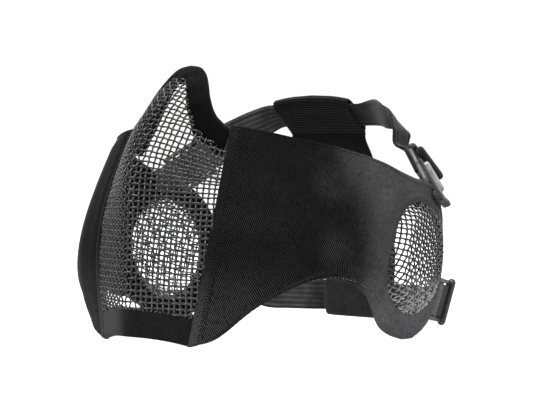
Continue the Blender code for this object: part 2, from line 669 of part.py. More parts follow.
def pocket_fold(strap, lean, out):
    """Line of the band round a strap's section, from one face over its edge to the other."""
    radius = POCKET_SLACK + (BAND_THICKNESS + STRAP_THICKNESS) / 2
    edge = strap + lean * STRAP_WIDTH / 2
    points = [strap - out * radius]
    for turn in (0, 45, 90, 135, 180):
        angle = math.radians(turn)
        points.append(edge - out * radius * math.cos(angle) + lean * radius * math.sin(angle))
    points.append(strap + out * radius)
    return points


def build_back_band():
    """Wide band: a pocket round the upper strap, the long run down the back, a pocket below."""
    last = UPPER_ROUTE_LEFT[-1]
    upper = np.array([UPPER_BACK, UPPER_RISE])
    lower = np.array([LOWER_BACK, LOWER_RISE])
    lean = unit(np.array([last["edge_back"], last["edge_up"]]))
    upper_fold = pocket_fold(upper, lean, np.array([lean[1], -lean[0]]))
    lower_fold = pocket_fold(lower, np.array([0.0, -1.0]), np.array([-1.0, 0.0]))
    spare = BAND_POCKET - STRAP_WIDTH / 2
    profile = [upper_fold[0] - lean * spare, *upper_fold, upper_fold[-1] - lean * STRAP_WIDTH / 2]
    for row in BAND_LINE:
        profile.append(np.array([UPPER_BACK + (LOWER_BACK - UPPER_BACK) * row["back"],
                                 LOWER_RISE + (UPPER_RISE - LOWER_RISE) * row["up"]]))
    profile += [*lower_fold, lower_fold[-1] + np.array([0.0, spare])]
    profile = np.array(profile)
    knots = distances(profile)
    line = curve_through(profile, np.linspace(0, knots[-1], BAND_POINTS), knots)
    pocket_foot = UPPER_RISE - lean[1] * BAND_POCKET
    pocket_top = LOWER_RISE + BAND_POCKET
    share = np.clip((line[:, 1] - pocket_top) / (pocket_foot - pocket_top), 0, 1)
    turn = np.radians(BAND_SLANT) * share
    middle = -BAND_FOOT_SHIFT - (BAND_SHIFT - BAND_FOOT_SHIFT) * share
    across = np.linspace(-0.5, 0.5, 5) * BAND_WIDTH
    grid = np.zeros((len(line), len(across), 3))
    grid[..., 0] = middle[:, None] + across * np.cos(turn)[:, None]
    grid[..., 1] = line[:, 0][:, None] + across * np.sin(turn)[:, None]
    grid[..., 2] = line[:, 1][:, None]
    return thicken(grid_object("back_band", grid, ELASTIC), BAND_THICKNESS, 0.0)


def settle_on_origin():
    """Move every piece so that the middle of the model's footprint is the origin."""
    bpy.context.view_layer.update()
    depsgraph = bpy.context.evaluated_depsgraph_get()
    low = Vector((math.inf,) * 3)
    high = Vector((-math.inf,) * 3)
    for item in MASK.objects:
        shape = item.evaluated_get(depsgraph)
        for corner in shape.bound_box:
            place = shape.matrix_world @ Vector(corner)
            low = Vector(map(min, low, place))
            high = Vector(map(max, high, place))
    middle = Vector(((low.x + high.x) / 2, (low.y + high.y) / 2, low.z))
    for item in [*MASK.objects, *CUTTERS.objects]:
        item.location -= middle


for old in list(bpy.data.objects):
    bpy.data.objects.remove(old)
MASK = bpy.data.collections.new("mesh_face_mask")
CUTTERS = bpy.data.collections.new("cutters")
bpy.context.scene.collection.children.link(MASK)
bpy.context.scene.collection.children.link(CUTTERS)

CLOTH_MATERIAL = make_material("woven_cloth", CLOTH_BLACK, 0.85)
TRIM = make_material("knit_trim", TRIM_BLACK, 0.90)
ELASTIC = make_material("elastic", ELASTIC_BLACK, 0.80)
WEBBING = make_material("webbing", CLOTH_BLACK, 0.80)
WIRE = make_material("coated_wire", WIRE_BLACK, 0.35, 0.6)
PLASTIC = make_material("buckle_plastic", PLASTIC_GREY, 0.40)

build_front_mesh()
build_chin_binding()
build_nose_trim()
hole = ear_cutter()
buckle = buckle_mesh()
buckle.materials.clear()
buckle.materials.append(PLASTIC)
upper_frames = (buckle_frame(UPPER_TURN_LEFT, 1.0, UPPER_POINT_LEFT, UPPER_FACE_LEFT, 1),
                buckle_frame(UPPER_TURN_RIGHT, 1.0, UPPER_POINT_RIGHT, UPPER_FACE_RIGHT, -1))
lower_frame = buckle_frame(LOWER_TURN, 0.0, LOWER_POINT, LOWER_FACE, -1)
for side, word, upper_frame in ((1, "left", upper_frames[0]), (-1, "right", upper_frames[1])):
    build_hem(side, word)
    build_cheek(side, word, hole)
    build_ear_mesh(side, word)
    for frame, height in ((upper_frame, "upper"), (lower_frame, "lower")):
        place_buckle(height + "_buckle_" + word, buckle, frame, side)
        build_tab(height + "_tab_" + word, frame, side)
build_strap("upper_strap", upper_frames, (UPPER_ROUTE_LEFT, UPPER_ROUTE_RIGHT), UPPER_BACK,
            UPPER_RISE, BAND_SLANT, BAND_SHIFT)
build_strap("lower_strap", (lower_frame, lower_frame), (LOWER_ROUTE, LOWER_ROUTE), LOWER_BACK,
            LOWER_RISE, 0, BAND_FOOT_SHIFT)
build_back_band()
settle_on_origin()
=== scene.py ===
# Looks of a mesh lower face mask: pointed wire front, padded cloth cheeks with ear cups, elastic harness.
# Metres, +Z up. The front looks towards -Y and the wearer's left ear towards +X.
import math

import bmesh
import bpy
import numpy as np
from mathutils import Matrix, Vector


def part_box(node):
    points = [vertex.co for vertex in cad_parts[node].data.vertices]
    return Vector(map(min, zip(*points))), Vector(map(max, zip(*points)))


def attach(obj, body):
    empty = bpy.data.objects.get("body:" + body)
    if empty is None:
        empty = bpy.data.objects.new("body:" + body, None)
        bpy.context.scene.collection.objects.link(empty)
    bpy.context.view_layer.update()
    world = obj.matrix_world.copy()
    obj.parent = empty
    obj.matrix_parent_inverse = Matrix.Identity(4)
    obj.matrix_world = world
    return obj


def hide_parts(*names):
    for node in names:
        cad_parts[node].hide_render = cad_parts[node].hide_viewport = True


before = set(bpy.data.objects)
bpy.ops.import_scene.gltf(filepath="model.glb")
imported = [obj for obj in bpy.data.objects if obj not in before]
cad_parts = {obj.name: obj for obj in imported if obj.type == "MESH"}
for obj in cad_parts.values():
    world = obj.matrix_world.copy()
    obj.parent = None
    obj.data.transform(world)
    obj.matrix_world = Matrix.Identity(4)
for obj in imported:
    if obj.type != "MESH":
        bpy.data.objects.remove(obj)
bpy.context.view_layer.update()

# Driving sizes, the same as those of the solids
face = dict(cheekHeight=0.1113, noseRise=0.0331, chinHalf=0.0302, bridgeHalf=0.0340, depth=0.1067,
            bridgeSetback=0.0277, seamBow=0.0098, cheekBow=0.0095, prowReach=0.0133, noseLean=0.0485,
            chinArch=0.0040)
cup = dict(half=0.0920, lobeTuck=0.0055, crownFlare=0.0020, height=0.0835, reach=0.0370, lobeTurn=0.0045,
           crownTurn=0.0140, holeLength=0.0530, holeHeight=0.0600, holeRaise=0.0008, dome=0.0072)
cloth = dict(thickness=0.0022, hemWidth=0.0070, hemThickness=0.0030, bindingHeight=0.0153,
             bindingThickness=0.0030, trimWidth=0.0130, trimThickness=0.0046,
             trimPad=0.0105, trimPadSpread=0.80, trimProud=0.0014, gap=0.0003)
harness = dict(strapWidth=0.0180, strapThickness=0.0016, bandWidth=0.0490, bandThickness=0.0018,
               pocket=0.0230, slack=0.0006, lead=0.0029, upperBack=0.0487, upperRise=0.1207,
               lowerBack=0.0745, lowerRise=0.0132, tabWidth=0.0175, tabThickness=0.0014, tabRoot=0.0080,
               tabGap=0.0006, strapGap=0.0006)

# Cheek sections from the seam to the ear: lower point and upper point as shares out, back and up, then
# bow, its skew, and the way it faces in degrees
cheekShares = np.array([
    (0.00, 0.00, 0.000, 0.000, 0.00, 1.000, 1.00, 1.15, 45),
    (0.24, 0.06, 0.040, 0.210, 0.03, 0.985, 0.98, 0.90, 34),
    (0.49, 0.15, 0.168, 0.430, 0.11, 0.960, 1.02, 0.70, 38),
    (0.68, 0.26, 0.256, 0.630, 0.27, 0.925, 1.00, 0.58, 50),
    (0.79, 0.38, 0.298, 0.770, 0.40, 0.900, 1.00, 0.62, 62),
    (0.86, 0.52, 0.298, 0.880, 0.56, 0.868, 1.05, 0.75, 72),
    (0.90, 0.69, 0.232, 0.966, 0.72, 0.828, 1.05, 0.85, 80),
    (0.912, 0.81, 0.066, 1.010, 0.86, 0.785, 0.85, 1.00, 86),
])
# How far the right cheek's lower edge hangs below the left one's, at each section
rightSag = [0.0, 0.0, 0.0, 0.0085, 0.0120, 0.0150, 0.0140, 0.0030, 0.0]
# Round the cup: degrees from its widest section, and the bow there as a share
cupTurns = np.array([0, 16, 32, 48, 64, 80])
cupBows = np.array([0.62, 0.48, 0.36, 0.26, 0.18, 0.12])
# Ridge of the wire front: share of the height, share of the lean, softness
ridgeRows = np.array([
    (0, 0, 0.20), (0.150, 0.006, 0.20), (0.335, 0.030, 0.20), (0.450, 0.042, 0.22), (0.540, 0.058, 0.26),
    (0.600, 0.082, 0.31), (0.650, 0.125, 0.37), (0.705, 0.203, 0.44), (0.765, 0.310, 0.51),
    (0.805, 0.380, 0.55), (0.850, 0.480, 0.60), (0.900, 0.635, 0.64), (0.946, 0.800, 0.65), (1, 1, 0.65),
])
# Nose arch from the seam's top corner to the peak: out, back, up, then the way across the trim
archShares = [
    (1.000, 0.00, 0.00, 0.13, -1.01), (0.930, 0.00, 0.05, -0.06, -0.86), (0.865, 0.00, 0.11, -0.22, -0.72),
    (0.780, 0.00, 0.18, -0.36, -0.55), (0.690, 0.02, 0.29, -0.46, -0.36), (0.620, 0.10, 0.41, -0.50, -0.33),
    (0.550, 0.25, 0.53, -0.50, -0.34), (0.485, 0.44, 0.65, -0.51, -0.34), (0.410, 0.66, 0.77, -0.49, -0.38),
    (0.320, 0.86, 0.88, -0.42, -0.46), (0.190, 0.97, 0.97, -0.26, -0.60), (0.000, 1.00, 1.00, 0.00, -0.65),
]

peakHeight = face["cheekHeight"] + face["noseRise"]
chinFront = -face["depth"] - face["prowReach"]
# The solids were moved so that the middle of their footprint is the origin
shift = np.array([0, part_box("chin_binding")[0].y - chinFront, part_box("front_hem_left")[0].z])
mirror = np.array([-1, 1, 1])


def unit(v):
    # Each vector divided by its length
    return v / np.maximum(np.linalg.norm(v, axis=-1, keepdims=True), 1e-12)


def curveThrough(values, places, knots=None):
    # Cubic Hermite curve through rows of values, slopes by central differences
    values = np.asarray(values, float)
    knots = np.arange(len(values), dtype=float) if knots is None else knots
    places = np.clip(np.asarray(places, float), knots[0], knots[-1])
    slopes = np.gradient(values, knots, axis=0)
    low = np.clip(np.searchsorted(knots, places, side="right") - 1, 0, len(values) - 2)
    step = (knots[low + 1] - knots[low])[..., None]
    f = (places - knots[low])[..., None] / step
    rise = values[low + 1] - values[low]
    leave, arrive = slopes[low] * step, slopes[low + 1] * step
    bend, twist = 3 * rise - 2 * leave - arrive, leave + arrive - 2 * rise
    return values[low] + f * leave + f**2 * bend + f**3 * twist


def lengthAlong(points, axis=0):
    # Running length of a line of points, or of each line of a grid
    steps = np.linalg.norm(np.diff(points, axis=axis), axis=-1)
    return np.concatenate([np.zeros_like(np.take(steps, [0], axis)), np.cumsum(steps, axis)], axis)


def smooth(x, low, high):
    # 0 below low, 1 above high, an S curve between
    t = np.clip((x - low) / (high - low), 0, 1)
    return t * t * (3 - 2 * t)


def cheekTable():
    # Front rows scale the shares; cup rows follow cosine and sine round the cup's middle height
    lowOut, lowBack, lowUp, topOut, topBack, topUp, bow, skew, facing = cheekShares.T
    front = [face["chinHalf"] + (cup["half"] - face["chinHalf"]) * lowOut, -face["depth"] * (1 - lowBack),
             face["cheekHeight"] * lowUp, face["bridgeHalf"] + (cup["half"] - face["bridgeHalf"]) * topOut,
             (face["bridgeSetback"] - face["depth"]) * (1 - topBack), face["cheekHeight"] * topUp,
             bow * np.where(lowOut > 0, face["cheekBow"], face["seamBow"]), skew, np.radians(facing)]
    turn, middle = np.radians(cupTurns), cup["height"] / 2
    back, tall, turned = cup["reach"] * np.sin(turn), middle * np.cos(turn), 1 - np.cos(turn)
    rear = [cup["half"] - cup["lobeTuck"] - cup["lobeTurn"] * turned, back, middle - tall,
            cup["half"] + cup["crownFlare"] - cup["crownTurn"] * turned, back, middle + tall,
            cupBows * face["cheekBow"], np.ones(len(turn)), np.radians(90 + cupTurns / 4)]
    return np.concatenate([front, rear], 1).T


cheekRows = cheekTable()
earRow, lastRow = len(cheekShares), len(cheekRows) - 1
holeMiddle = cup["height"] / 2 + cup["holeRaise"]


def cheek(place, level):
    # Straight line from lower to upper point of the section, pushed out by bow * sin(pi * level**skew)
    place, level = np.broadcast_arrays(np.asarray(place, float), np.asarray(level, float))
    row = curveThrough(cheekRows, place)
    low, top, bow, skew, facing = row[..., 0:3], row[..., 3:6], row[..., 6], row[..., 7], row[..., 8]
    point = low + (top - low) * level[..., None]
    out = bow * np.sin(math.pi * np.clip(level, 0, 1)**skew)
    point[..., 0] += out * np.sin(facing)
    point[..., 1] -= out * np.cos(facing)
    return point


def cheekNormal(place, level):
    # Cross product of the two differences over a small step
    step = 0.02
    along = cheek(place + step, level) - cheek(place - step, level)
    up = cheek(place, np.clip(level + step, 0, 1)) - cheek(place, np.clip(level - step, 0, 1))
    return unit(np.cross(along, up))


def hemPlace(level):
    # Place of the hem line: the hem's width over the length of the first stretch at this level
    return cloth["hemWidth"] / np.linalg.norm(cheek(1, level) - cheek(0, level), axis=-1)


def cheekAt(back, height):
    # Newton's method for the place and level whose point has this depth and height
    place = earRow + back / cup["reach"] * 3
    level = height / cup["height"]
    step = 0.01
    for _ in range(14):
        here = cheek(place, level)
        dPlace = (cheek(place + step, level) - here) / step
        dLevel = (cheek(place, level + step) - here) / step
        missY, missZ = back - here[..., 1], height - here[..., 2]
        det = dPlace[..., 1] * dLevel[..., 2] - dLevel[..., 1] * dPlace[..., 2]
        place = place + (missY * dLevel[..., 2] - missZ * dLevel[..., 1]) / det
        level = level + (missZ * dPlace[..., 1] - missY * dPlace[..., 2]) / det
        place, level = np.clip(place, 4, lastRow - 0.2), np.clip(level, 0.02, 0.98)
    return place, level


def ridgeLine(height):
    # Depth of the ridge at this height, and its softness as a share of the half width
    places = np.interp(height, ridgeRows[:, 0] * peakHeight, np.arange(len(ridgeRows)))
    here = curveThrough(ridgeRows[:, 1:], places)
    return here[..., 0] * face["noseLean"] + chinFront, here[..., 1]


def archCurve(count):
    # Outer edge of the nose arch, corner to peak, and the front-view way across the trim
    rows = curveThrough(archShares, np.linspace(0, len(archShares) - 1, count))
    corner = cheek(0, 1)[1]
    peak = face["noseLean"] + chinFront
    outer = np.stack([rows[:, 0] * face["bridgeHalf"], corner + rows[:, 1] * (peak - corner),
                      face["cheekHeight"] + rows[:, 2] * face["noseRise"]], -1)
    return outer, rows[:, 3:5] * cloth["trimWidth"]


edgeLine = np.concatenate([cheek(0, np.linspace(0, 1, 80)), archCurve(80)[0][1:]])


def frontEdge(height):
    # Half width and depth of the wire front's edge at this height
    return [np.interp(height, edgeLine[:, 2], edgeLine[:, k]) for k in (0, 1)]


def frontPoint(across, height):
    # Prow: from the ridge back to the edge, a rounded V in each level section
    half, back = frontEdge(height)
    share = np.abs(across) / np.maximum(half, cloth["gap"])
    ridge, soft = ridgeLine(height)
    rounded = (np.sqrt(share**2 + soft**2) - soft) / (np.sqrt(1 + soft**2) - soft)
    across, depth = np.broadcast_arrays(across, ridge + (back - ridge) * rounded)
    return np.stack([across, depth, np.broadcast_to(height, depth.shape)], -1)


def trimInner(count):
    # The arch moved by its way across the trim, laid on the wire front
    outer, way = archCurve(count)
    return frontPoint(np.maximum(outer[:, 0] + way[:, 0], 0), outer[:, 2] + way[:, 1])


# Building blocks: a shell is points, quads, and a UV for each corner; a piece is one or more shells

def shell(grid, uv=None, wrap=(False, True)):
    # Quads between neighbouring grid points, facing out; wrap joins the last row or column to the first
    rows, columns = grid.shape[:2]
    if uv is None:
        uv = np.zeros((rows + 1, columns + 1, 2))
    i, j = np.meshgrid(np.arange(rows if wrap[0] else rows - 1),
                       np.arange(columns if wrap[1] else columns - 1), indexing="ij")
    i = np.stack([i, i + 1, i + 1, i], -1).reshape(-1, 4)
    j = np.stack([j, j, j + 1, j + 1], -1).reshape(-1, 4)
    points, quads, corners = grid.reshape(-1, 3), (i % rows) * columns + j % columns, uv[i, j]
    a, b, c, d = (points[quads[:, k]] for k in range(4))
    volume = np.sum(a * np.cross(b, c)) + np.sum(a * np.cross(c, d))
    if volume < 0:
        quads, corners = quads[:, ::-1], corners[:, ::-1]
    return points, quads, corners


def mirrored(parts):
    # The same shells on the wearer's right, turned so that they still face out
    return [(points * mirror, quads[:, ::-1], corners[:, ::-1]) for points, quads, corners in parts]


def makePiece(name, parts, look, nodes):
    # Joins the shells, merges coinciding points, and puts the piece on the frame
    points, quads, corners = zip(*parts)
    starts = np.cumsum([0] + [len(p) for p in points[:-1]])
    quads = np.concatenate([q + start for q, start in zip(quads, starts)])
    points, corners = np.concatenate(points) + shift, np.concatenate(corners)
    used, quads = np.unique(quads, return_inverse=True)
    mesh = bpy.data.meshes.new(name)
    mesh.from_pydata(points[used].tolist(), [], quads.reshape(-1, 4).tolist())
    layer = mesh.uv_layers.new(name="UVMap")
    layer.data.foreach_set("uv", corners.astype(np.float32).ravel())
    work = bmesh.new()
    work.from_mesh(mesh)
    bmesh.ops.remove_doubles(work, verts=work.verts, dist=1e-6)
    work.to_mesh(mesh)
    work.free()
    mesh.shade_smooth()
    piece = bpy.data.objects.new(name, mesh)
    bpy.context.scene.collection.objects.link(piece)
    mesh.materials.append(looks[look])
    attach(piece, "root")
    if nodes:
        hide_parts(*nodes)
    print("made", name, len(mesh.polygons), "faces")
    return piece


# Word for each side of the wearer, and what turns shells made for the left to that side
sides = (("left", list), ("right", mirrored))


def makePair(name, parts, look, node):
    # The piece on the left and its mirror image on the right
    for word, turnOver in sides:
        makePiece(name + "_" + word, turnOver(parts), look, [node + "_" + word])


def roundedProfile(count, power):
    # Superellipse: cosine and sine raised to 2 / power, from -1 to 1 each way, as a closed loop
    turn = np.linspace(0, math.tau, count, endpoint=False)
    c, s = np.cos(turn), np.sin(turn)
    return np.sign(c) * np.abs(c)**(2 / power), np.sign(s) * np.abs(s)**(2 / power)


def closeEnds(grid, rounds=1, depth=0.0):
    # Adds rows that shrink to the middle of the first and last ring, in a quarter circle of this depth
    def ends(ring, inward):
        middle = ring.mean(0)
        away = unit(middle - inward.mean(0))
        angle = (math.pi / 2 * np.arange(1, rounds + 1) / rounds)[:, None, None]
        return middle + (ring - middle) * np.cos(angle) + away * depth * np.sin(angle)
    return np.concatenate([ends(grid[0], grid[1])[::-1], grid, ends(grid[-1], grid[-2])])


def section(piece):
    # The profile as a share across, 0 to 1, and a share of the thickness below the outer face, 0 to -1
    c, s = roundedProfile(piece["around"], piece["power"])
    return 0.5 + 0.5 * c, 0.5 * s - 0.5


def capped(grid, rounds, depth):
    # Shell of these rings with rounded ends; UV is the length along the rows and round the ring, in metres
    grid = closeEnds(grid, rounds, depth)
    middle = grid[len(grid) // 2]
    around = lengthAlong(np.concatenate([middle, middle[:1]]))
    return shell(grid, np.stack(np.meshgrid(lengthAlong(grid.mean(1)), around, indexing="ij"), -1))


def sweep(path, across, normal, width, thickness, piece, rounds, raised=None):
    # A superellipse of this width and thickness carried along the path; raised adds to its faces
    c, s = roundedProfile(piece["around"], piece["power"])
    width, thickness = np.broadcast_to(width, len(path)), np.broadcast_to(thickness, len(path))
    wide = c[None, :] * width[:, None] / 2
    tall = s[None, :] * thickness[:, None] / 2
    if raised is not None:
        tall = tall + raised(c)[None, :] * s[None, :]
    grid = path[:, None] + across[:, None] * wide[..., None] + normal[:, None] * tall[..., None]
    return capped(grid, rounds, piece["end"])


def resample(line, run, at):
    # Points at these lengths along the line, straight between its own points
    return np.stack([np.interp(at, run, line[:, k]) for k in range(3)], -1)


# Shader maths

class Socket:
    # Wraps an output socket; an expression on it adds Math nodes, node() adds any other kind
    def __init__(self, tree, socket=None):
        self.tree, self.socket = tree, socket

    def node(self, kind, inputs, output=0, **settings):
        # Inputs by name or number; a Socket is linked, anything else is set
        made = self.tree.nodes.new("ShaderNode" + kind)
        for name, value in settings.items():
            setattr(made, name, value)
        for name, value in inputs.items():
            if isinstance(value, Socket):
                self.tree.links.new(value.socket, made.inputs[name])
            else:
                made.inputs[name].default_value = value
        return Socket(self.tree, made.outputs[output])

    def maths(self, operation, *values):
        return self.node("Math", dict(enumerate(values)), operation=operation)

    def __add__(self, other):
        return self.maths("ADD", self, other)

    def __sub__(self, other):
        return self.maths("SUBTRACT", self, other)

    def __rsub__(self, other):
        return self.maths("SUBTRACT", other, self)

    def __mul__(self, other):
        return self.maths("MULTIPLY", self, other)

    __radd__ = __add__
    __rmul__ = __mul__

    def sine(self):
        return self.maths("SINE", self)

    def ripple(self, pitch):
        # Sine with one period in each pitch
        return (self * (math.tau / pitch)).sine()

    def ridges(self, pitch):
        # The same between 0 and 1
        return self.ripple(pitch) * 0.5 + 0.5

    def highest(self, other):
        return self.maths("MAXIMUM", self, other)

    def band(self, low, high):
        # 0 below low, 1 above high, an S curve between
        return self.node("MapRange", {0: self, 1: low, 2: high}, interpolation_type="SMOOTHSTEP")

    def blend(self, first, second):
        # This value as the share of the second colour over the first
        return self.node("Mix", {0: self, 6: first, 7: second}, 2, data_type="RGBA")

    def uv(self):
        # Both lengths of the piece's UV, in metres
        u = self.node("SeparateXYZ", {0: self.node("UVMap", {}, uv_map="UVMap")})
        return u, Socket(self.tree, u.socket.node.outputs[1])

    def place(self):
        return self.node("TexCoord", {}, 3)

    def axis(self, number):
        # Object coordinate: 0 out, 1 back, 2 up
        return self.node("SeparateXYZ", {0: self.place()}, number)

    def noise(self, scale, detail=2.0, roughness=0.5, vector=None):
        return self.node("TexNoise", {"Vector": vector or self.place(), "Scale": scale, "Detail": detail,
                                      "Roughness": roughness})

    def joined(self, x, y, z=0.0):
        return self.node("CombineXYZ", {0: x, 1: y, 2: z})


def makeMaterial(name, build, **fixed):
    # build(net) gives what varies; the fixed values go straight on the shader's own sockets
    material = bpy.data.materials.new(name)
    material.use_nodes = True
    tree = material.node_tree
    shader = tree.nodes["Principled BSDF"]
    for socket, value in fixed.items():
        shader.inputs[socket.replace("_", " ")].default_value = value
    net = Socket(tree)
    varied = build(net)
    if "bump" in varied:
        height, depth = varied.pop("bump")
        varied["Normal"] = net.node("Bump", {"Strength": 1.0, "Distance": depth, "Height": height})
    for socket, value in varied.items():
        tree.links.new(value.socket, shader.inputs[socket])
    return material


def grey(value, tint=(1, 1, 1)):
    # Linear colour of this sRGB grey, 0 to 255
    linear = ((value / 255 + 0.055) / 1.055)**2.4
    return (linear * tint[0], linear * tint[1], linear * tint[2], 1)


def yarns(net, u, v, pitch, turn):
    # One family of parallel yarns: a sine across them, times noise drawn out along them
    c, s = math.cos(math.radians(turn)) / pitch, math.sin(math.radians(turn)) / pitch
    across, along = u * c + v * s, v * c - u * s
    broken = net.noise(1.0, vector=net.joined(across * 0.9, along * (1 / 3.5)))
    tick = along.ripple(1) * 0.12 + 0.88
    return across.ridges(1) * (broken * 1.5 + 0.25) * tick


def paintedSheenRim(net, colour, rim, power):
    # Painted sheen: pale where the surface turns away, as the sheen of fuzz at a fold; facing raised to this
    # power
    facing = net.node("LayerWeight", {"Blend": 0.5}, 1)
    return facing.maths("POWER", facing, power).blend(colour, grey(rim))


# Tones are greys from 0 to 255, pairs are where a change begins and ends, depth is the bump's height;
# pale is the painted light's tone, rim the painted sheen's; a spot is a painted highlight: out, back, up,
# strength
clothLook = dict(pitch=0.00098, turn=28, pale=98, rim=78, tint=(1.0, 1.0, 1.03), low=(0.050, 0.006),
                 cups=(-0.060, -0.024), earwards=(0.078, 0.108), depth=0.00042, highlightSize=0.0150,
                 highlightSpots=[(0.0830, -0.0350, 0.0820, 0.22), (0.0880, -0.0400, 0.0490, 0.22)])


def paintedLightShare(net):
    # Painted light: paler cloth low down as light bounced up from the floor, round the ear cups where the
    # lamps light them, and in soft patches and spots as painted highlights on creases
    low = net.axis(2).band(*clothLook["low"])
    cups = (net.axis(1) - shift[1]).band(*clothLook["cups"])
    share = net.noise(38.0, 3.0).band(0.46, 0.74) * 0.045
    for *spot, amount in clothLook["highlightSpots"]:
        away = net.node("VectorMath", {0: net.place(), 1: spot}, 1, operation="DISTANCE")
        share = share + away.band(clothLook["highlightSize"], 0.0) * amount
    return low * (0.3 + 0.3 * cups) + cups * (0.55 - 0.2 * low) + share


def clothFinish(crown, gap, rearShare, paintedLightStrength):
    # Two families of yarns: the steep one shows in front, the other takes over towards the ear
    def finish(net):
        u, v = net.uv()
        steep = yarns(net, u, v, clothLook["pitch"], clothLook["turn"])
        level = yarns(net, u, v, clothLook["pitch"], clothLook["turn"] + 90)
        rear = (u + 0.25 * v).band(*clothLook["earwards"]) * rearShare
        height = (steep * (1.0 - 0.75 * rear)).highest(level * (0.12 + 0.88 * rear))
        mottle, slub, lint = net.noise(70.0, 3.0), net.noise(420.0), net.noise(1500.0)
        light = height.band(0.34, 1.0) * (1.25 - 0.6 * rear) + 0.26 * rear
        light = light * (0.35 + 0.9 * mottle + 0.7 * slub)
        dark, top, pale = (grey(tone, clothLook["tint"]) for tone in (gap, crown, clothLook["pale"]))
        # Yarn crowns go towards the pale tone by the share of painted light
        colour = light.blend(dark, (paintedLightShare(net) * paintedLightStrength).blend(top, pale))
        return {"Base Color": paintedSheenRim(net, colour, clothLook["rim"], 6.0),
                "bump": (height + 0.2 * lint, clothLook["depth"])}
    return finish


bindingLook = dict(pitch=0.0011, turns=(38, 120), gap=3, crown=32, rim=72, depth=0.00022,
                   stitch=0.0022, thread=90)


def bindingFinish(net):
    # Two families of yarns, and a row of stitches along the edge
    u, v = net.uv()
    steep, level = (yarns(net, u, v, bindingLook["pitch"], turn) for turn in bindingLook["turns"])
    height = steep.highest(level * 0.5)
    lint = net.noise(1300.0)
    stitch = u.ripple(bindingLook["stitch"]).band(-0.1, 0.4)
    row = v.band(0.0011, 0.0014) * v.band(0.0021, 0.0018)
    light = height.band(0.1, 1.0) * (0.4 + 0.9 * net.noise(160.0))
    colour = light.blend(grey(bindingLook["gap"]), grey(bindingLook["crown"]))
    colour = (stitch * row * 0.7).blend(colour, grey(bindingLook["thread"]))
    return {"Base Color": paintedSheenRim(net, colour, bindingLook["rim"], 3.0),
            "bump": (height + 0.25 * lint, bindingLook["depth"])}


trimLook = dict(rib=0.0011, loop=0.0009, slant=2400.0, gap=0, crown=12, peakSheenTone=37, peakSheenFrom=(0.118, 0.140),
                piping=66, rim=36, depth=0.00035)


def trimFinish(net):
    # Fine ribs along the trim, each a row of small stitches
    u, v = net.uv()
    rib = v.ridges(trimLook["rib"])
    loop = (u * (math.tau / trimLook["loop"]) + v * trimLook["slant"]).sine() * 0.5 + 0.5
    height = rib * 0.6 + loop * 0.4 + 0.3 * net.noise(1600.0, 3.0)
    piping = v.band(0.0007, 0.0011) * v.band(0.0020, 0.0015)
    tops = (height * (0.6 + 0.6 * net.noise(220.0))).band(0.45, 1.1)
    # Painted sheen: the rib crowns pale towards the top of the trim
    peak = net.axis(2).band(*trimLook["peakSheenFrom"])
    crown = peak.blend(grey(trimLook["crown"]), grey(trimLook["peakSheenTone"]))
    colour = tops.blend(grey(trimLook["gap"]), crown)
    colour = (piping * (0.2 + 0.4 * rib)).blend(colour, grey(trimLook["piping"]))
    return {"Base Color": paintedSheenRim(net, colour, trimLook["rim"], 4.0), "bump": (height, trimLook["depth"])}


elasticLook = dict(weft=0.0007, wave=0.00075, cord=0.0030, farFrom=(-0.024, -0.046), depth=0.0002)


def elasticFinish(low, high, rim, far):
    # Lengthwise cords crossed by close weft threads; their crowns have the tone far on the wearer's right, a
    # painted highlight on the straps' cords and a darker tone on the tabs; rim is the painted sheen's tone
    def finish(net):
        u, v = net.uv()
        weft = u.ridges(elasticLook["weft"])
        sway = u.ripple(2 * elasticLook["weft"])
        wave = (v * (math.tau / elasticLook["wave"]) + 1.6 * sway).sine() * 0.5 + 0.5
        height = weft * 0.5 + wave * 0.5 + 0.3 * net.noise(1500.0)
        cord = v.ripple(elasticLook["cord"]).band(-0.4, 0.8) * 0.5 + 0.3
        # Painted highlight on the straps: the cords far on the wearer's right take the far tone
        pale = (net.axis(0).band(*elasticLook["farFrom"]) * cord).blend(grey(high), grey(far))
        colour = (height * (0.6 + 0.7 * net.noise(120.0))).band(0.3, 1.2).blend(grey(low), pale)
        return {"Base Color": paintedSheenRim(net, colour, rim, 3.0), "bump": (height, elasticLook["depth"])}
    return finish


bandLook = dict(cross=0.0009, gap=4, crown=30, lowPaintedTone=58, low=(0.08, 0.03), rim=100, depth=0.00015)


def bandFinish(net):
    # Threads across the band, paler low down as painted light
    u, v = net.uv()
    height = v.ridges(bandLook["cross"]) * 0.5 + 0.4 * net.noise(1500.0)
    pale = net.axis(2).band(*bandLook["low"]).blend(grey(bandLook["crown"]), grey(bandLook["lowPaintedTone"]))
    light = (height * (0.7 + 0.6 * net.noise(120.0))).band(0.2, 1.1)
    return {"Base Color": paintedSheenRim(net, light.blend(grey(bandLook["gap"]), pale), bandLook["rim"], 3.0),
            "bump": (height, bandLook["depth"])}


def wireFinish(lowGlintTone):
    # Dark coating scuffed in places; low down, the scuffed patches take this paler tone as a painted
    # highlight of light from below
    def finish(net):
        rubAndGlint, grain = net.noise(260.0, 3.0), net.noise(2600.0)
        colour = rubAndGlint.band(0.4, 0.7).blend(grey(2), grey(26))
        # Painted highlight: paler patches on the wires low down
        colour = (net.axis(2).band(0.036, 0.022) * rubAndGlint.band(0.3, 0.6)).blend(colour, grey(lowGlintTone))
        return {"Base Color": colour, "Roughness": 0.18 + 0.16 * rubAndGlint, "bump": (grain, 0.00003)}
    return finish


